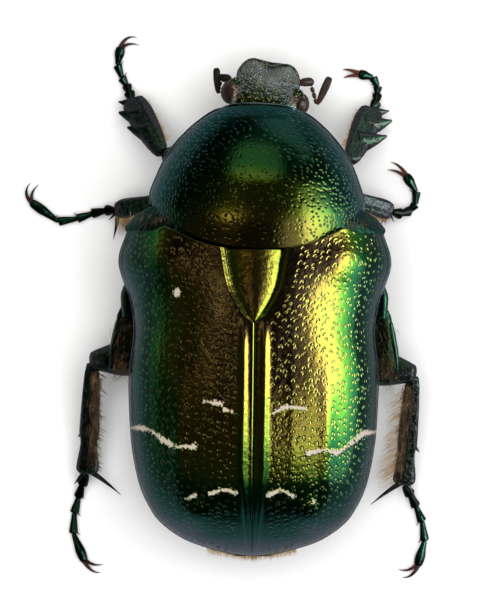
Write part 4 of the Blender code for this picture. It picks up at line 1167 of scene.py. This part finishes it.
# Pit colours of the neck shield by slope: painted glints, and painted shade in the band where the highlight
# falls
SHIELD_PIT_GLINT_AND_SHADE_HUES = [
    (0.0, 0.3, 0.4, 0.5), (0.4, 0.14, 0.4, 0.45), (0.62, 0.12, 0.34, 0.25), (0.8, 0.1, 0.14, 0.05),
    (0.93, 0.05, 0.06, 0.02), (1.0, 0.6, 0.5, 0.2)]
ELYTRA_HUES = [
    (0.0, 0.25, 0.34, 0.46), (0.17, 0.17, 0.25, 0.34), (0.32, 0.04, 0.2, 0.2), (0.48, 0.014, 0.13, 0.10),
    (0.6, 0.01, 0.06, 0.04), (0.72, 0.015, 0.2, 0.05), (0.80, 0.14, 0.50, 0.05), (0.88, 0.62, 0.66, 0.07),
    (0.955, 0.56, 0.42, 0.07), (1.0, 0.20, 0.14, 0.07)]
PRONOTUM_HUES = [
    (0.0, 0.3, 0.4, 0.5), (0.12, 0.16, 0.24, 0.3), (0.28, 0.03, 0.2, 0.2), (0.45, 0.012, 0.13, 0.12),
    (0.62, 0.008, 0.07, 0.05), (0.76, 0.02, 0.14, 0.04), (0.84, 0.16, 0.30, 0.04),
    (0.90, 0.29, 0.37, 0.045), (0.96, 0.44, 0.38, 0.07), (1.0, 0.24, 0.19, 0.05)]
SCUTELLUM_HUES = [
    (0.0, 0.03, 0.12, 0.08), (0.8, 0.12, 0.5, 0.05), (0.93, 0.55, 0.56, 0.06), (0.97, 0.34, 0.26, 0.05),
    (1.0, 0.2, 0.13, 0.04)]
HEAD_HUES = [
    (0.0, 0.05, 0.03, 0.03), (0.4, 0.12, 0.11, 0.12), (0.64, 0.5, 0.56, 0.58), (0.72, 0.62, 0.7, 0.72),
    (0.8, 0.14, 0.22, 0.19), (0.9, 0.03, 0.1, 0.05), (1.0, 0.08, 0.12, 0.04)]
# Gold painted into the pits of the head as glints
HEAD_PIT_GLINT = (0.75, 0.68, 0.35, 1)
LEG_HUES = [
    (0.0, 0.06, 0.06, 0.07), (0.5, 0.11, 0.11, 0.13), (0.75, 0.14, 0.16, 0.18), (0.86, 0.08, 0.22, 0.13),
    (0.93, 0.14, 0.18, 0.15), (1.0, 0.2, 0.19, 0.19)]
# The bright green stop of the feet is a painted highlight
FOOT_HUES = [
    (0.0, 0.02, 0.018, 0.018), (0.74, 0.025, 0.026, 0.026), (0.89, 0.025, 0.045, 0.038),
    (0.96, 0.07, 0.42, 0.25), (1.0, 0.03, 0.1, 0.06)]
UNDER_HUES = [
    (0.0, 0.03, 0.09, 0.06), (0.5, 0.04, 0.12, 0.10), (0.7, 0.02, 0.09, 0.08), (0.85, 0.02, 0.12, 0.06),
    (1.0, 0.04, 0.06, 0.03)]
SIDE_HUES = [
    (0.0, 0.03, 0.08, 0.07), (0.45, 0.02, 0.14, 0.11), (0.8, 0.04, 0.34, 0.2), (1.0, 0.16, 0.26, 0.08)]
BROWN_STOPS = [(0.3, 0.006, 0.005, 0.004), (0.5, 0.02, 0.012, 0.009), (0.7, 0.045, 0.024, 0.015)]
CLAW_STOPS = [(0.35, 0.02, 0.01, 0.008), (0.5, 0.07, 0.02, 0.012), (0.65, 0.16, 0.04, 0.02)]
EYE_STOPS = [(0.3, 0.008, 0.005, 0.005), (0.5, 0.025, 0.014, 0.012), (0.7, 0.05, 0.03, 0.026)]
GOLD_STOPS = [(0.3, 0.42, 0.24, 0.10), (0.5, 0.62, 0.42, 0.2), (0.7, 0.75, 0.6, 0.38)]
BROWN_HAIR_STOPS = [(0.3, 0.03, 0.018, 0.01), (0.5, 0.1, 0.06, 0.03), (0.7, 0.3, 0.19, 0.09)]


# Light, floor and camera

# Lights and room, in metres: what the lights look at, and how far and how far down the key light is
AIM = (0, 0, 0.006)
KEY_AWAY = 0.3
KEY_ANGLE = math.radians(55)
BACKDROP = (0.93, 0.93, 0.93, 1)
# Greys of the room, from the level of the floor up to overhead
ROOM_GREYS = [(0.0, 0.2), (0.04, 0.08), (0.2, 0.014), (1.0, 0.008)]


def area_light(name, where, size, power, colour=(1, 1, 1), shape="ELLIPSE", reflected=True):
    """A soft card that looks at the beetle."""
    light = bpy.data.lights.new(name, "AREA")
    light.shape = shape
    light.size, light.size_y = size
    light.energy = power
    light.color = colour
    lamp = new_object(name, light)
    lamp.location = where
    lamp.rotation_euler = (Vector(AIM) - Vector(where)).to_track_quat("-Z", "Y").to_euler()
    lamp.visible_glossy = reflected
    lamp.visible_camera = False


def build_lights():
    beside, up = -KEY_AWAY * math.sin(KEY_ANGLE), KEY_AWAY * math.cos(KEY_ANGLE)
    area_light("key_core", (beside, -0.03, up), (0.15, 0.17), 0.09, shape="RECTANGLE")
    area_light("key", (beside, -0.02, up), (0.23, 0.2), 0.15, shape="RECTANGLE")
    area_light("key_halo", (beside, 0.02, up), (0.42, 0.46), 0.12)
    area_light("front", (0, -0.275, 0.225), (0.2, 0.15), 0.032, colour=(1, 0.92, 0.6))
    area_light("low_front", (-0.11, -0.29, 0.08), (0.22, 0.1), 0.026)
    area_light("low_side", (-0.32, 0.04, 0.03), (0.3, 0.14), 0.12)
    area_light("rear", (-0.115, 0.085, 0.26), (0.09, 0.09), 0.012)
    area_light("left", (0.09, -0.05, 0.27), (0.17, 0.15), 0.003, colour=(1, 0.85, 0.5))
    area_light("left_core", (0.08, -0.05, 0.27), (0.05, 0.05), 0.006, colour=(1, 0.85, 0.45), shape="DISK")
    area_light("top", (0, 0, 0.9), (0.8, 0.8), 11, shape="RECTANGLE", reflected=False)


def build_sky():
    """A dim room that the beetle mirrors, and a pale ground for the camera."""
    world = bpy.data.worlds.new("studio")
    bpy.context.scene.world = world
    look = Look(world)
    split = look.add("SeparateXYZ", {0: look.add("TexCoord").outputs["Generated"]})
    seen = look.add("LightPath").outputs["Is Camera Ray"]
    room = look.ramp(split.outputs["Z"], [(place, *[grey] * 3) for place, grey in ROOM_GREYS])
    look.fill(look.nodes["Background"], {"Color": look.cover(seen, room, BACKDROP)})


def build_floor():
    bpy.ops.mesh.primitive_plane_add(size=3.0, location=(0, 0, 0))
    floor = bpy.context.object
    floor.name = "floor"
    look = Look(bpy.data.materials.new("pale_floor"))
    look.shade({"Base Color": (0.9, 0.9, 0.9, 1), "Roughness": 0.9, "Specular IOR Level": 0.1})
    floor.data.materials.append(look.owner)
    floor.visible_glossy = False


def build_camera():
    camera = bpy.data.cameras.new("camera")
    tall = PHOTO_HEIGHT * MM_PER_PIXEL * MM
    camera.sensor_fit = "AUTO"
    camera.sensor_width = SENSOR_WIDTH
    camera.lens = SENSOR_WIDTH * CAMERA_AWAY / tall
    camera.clip_start = 0.01
    camera.clip_end = 10
    eye = new_object("camera", camera)
    x, y = photo_point(PHOTO_WIDTH / 2, PHOTO_HEIGHT / 2)
    eye.location = to_world((x, y, OUTLINE_Z)) + np.array((0, 0, CAMERA_AWAY))
    eye.rotation_euler = (0, 0, math.pi + math.atan(PHOTO_TILT))
    bpy.context.scene.camera = eye


def main():
    bpy.context.scene.view_settings.view_transform = "Standard"
    build_camera()
    build_lights()
    build_sky()
    build_floor()
    elytra = stamped_chitin("elytra_chitin", ELYTRA_HUES, PIT_GLINT_HUES, 0.18, -0.3, 0.02, marks=True)
    shield = stamped_chitin("pronotum_chitin", PRONOTUM_HUES, SHIELD_PIT_GLINT_AND_SHADE_HUES, 0.17, 0.3, 0.008)
    head = chitin("head_chitin", HEAD_HUES, (0.12, 0.03), HEAD_PIT_GLINT, roughness=0.26, grain=0.004)
    under = chitin("under_chitin", UNDER_HUES, (0.16, 0.03), roughness=0.28)
    leg = chitin("leg_chitin", LEG_HUES, (0.13, 0.035), roughness=0.3, grain=0.008, drift=0.4)
    foot = chitin("foot_chitin", FOOT_HUES, roughness=0.22)
    bronze = chitin("scutellum_chitin", SCUTELLUM_HUES, roughness=0.25)
    side_green = chitin("side_plate_chitin", SIDE_HUES, roughness=0.3)
    brown = horn("mouth_horn", BROWN_STOPS, 0.3, coat=0.2)
    claw = horn("claw_horn", CLAW_STOPS, 0.25, coat=0.3)
    eye = horn("eye_gloss", EYE_STOPS, 0.12, coat=0.5, pits=(0.035, 0.002))
    gold = horn("gold_hair", GOLD_STOPS, 0.5, scale=2500)
    dark = horn("brown_hair", BROWN_HAIR_STOPS, 0.5, scale=2500)
    build_elytra(elytra)
    build_pronotum(shield)
    build_head(head, eye)
    build_antennae(brown)
    build_scutellum(bronze)
    build_shoulders(under)
    for pair, side in LEGS:
        build_leg(pair, side, leg, foot, claw)
    for node in ("prosternum", "metathorax", "abdomen"):
        smooth_copy(node, node + "_skin", under)
    smooth_copy("pygidium", "pygidium_skin", bronze)
    smooth_copy("mouthparts", "mouthparts_skin", brown)
    build_palps(brown)
    build_side_plates(under, side_green)
    build_joint_skin(under)
    for side in SIDES:
        for pair, slot in HIP_SLOTS.items():
            smooth_copy("coxa_" + pair + "_" + side, "coxa_skin_" + pair + "_" + side, under, edge=0.26)
    build_hairs(gold, dark)


main()
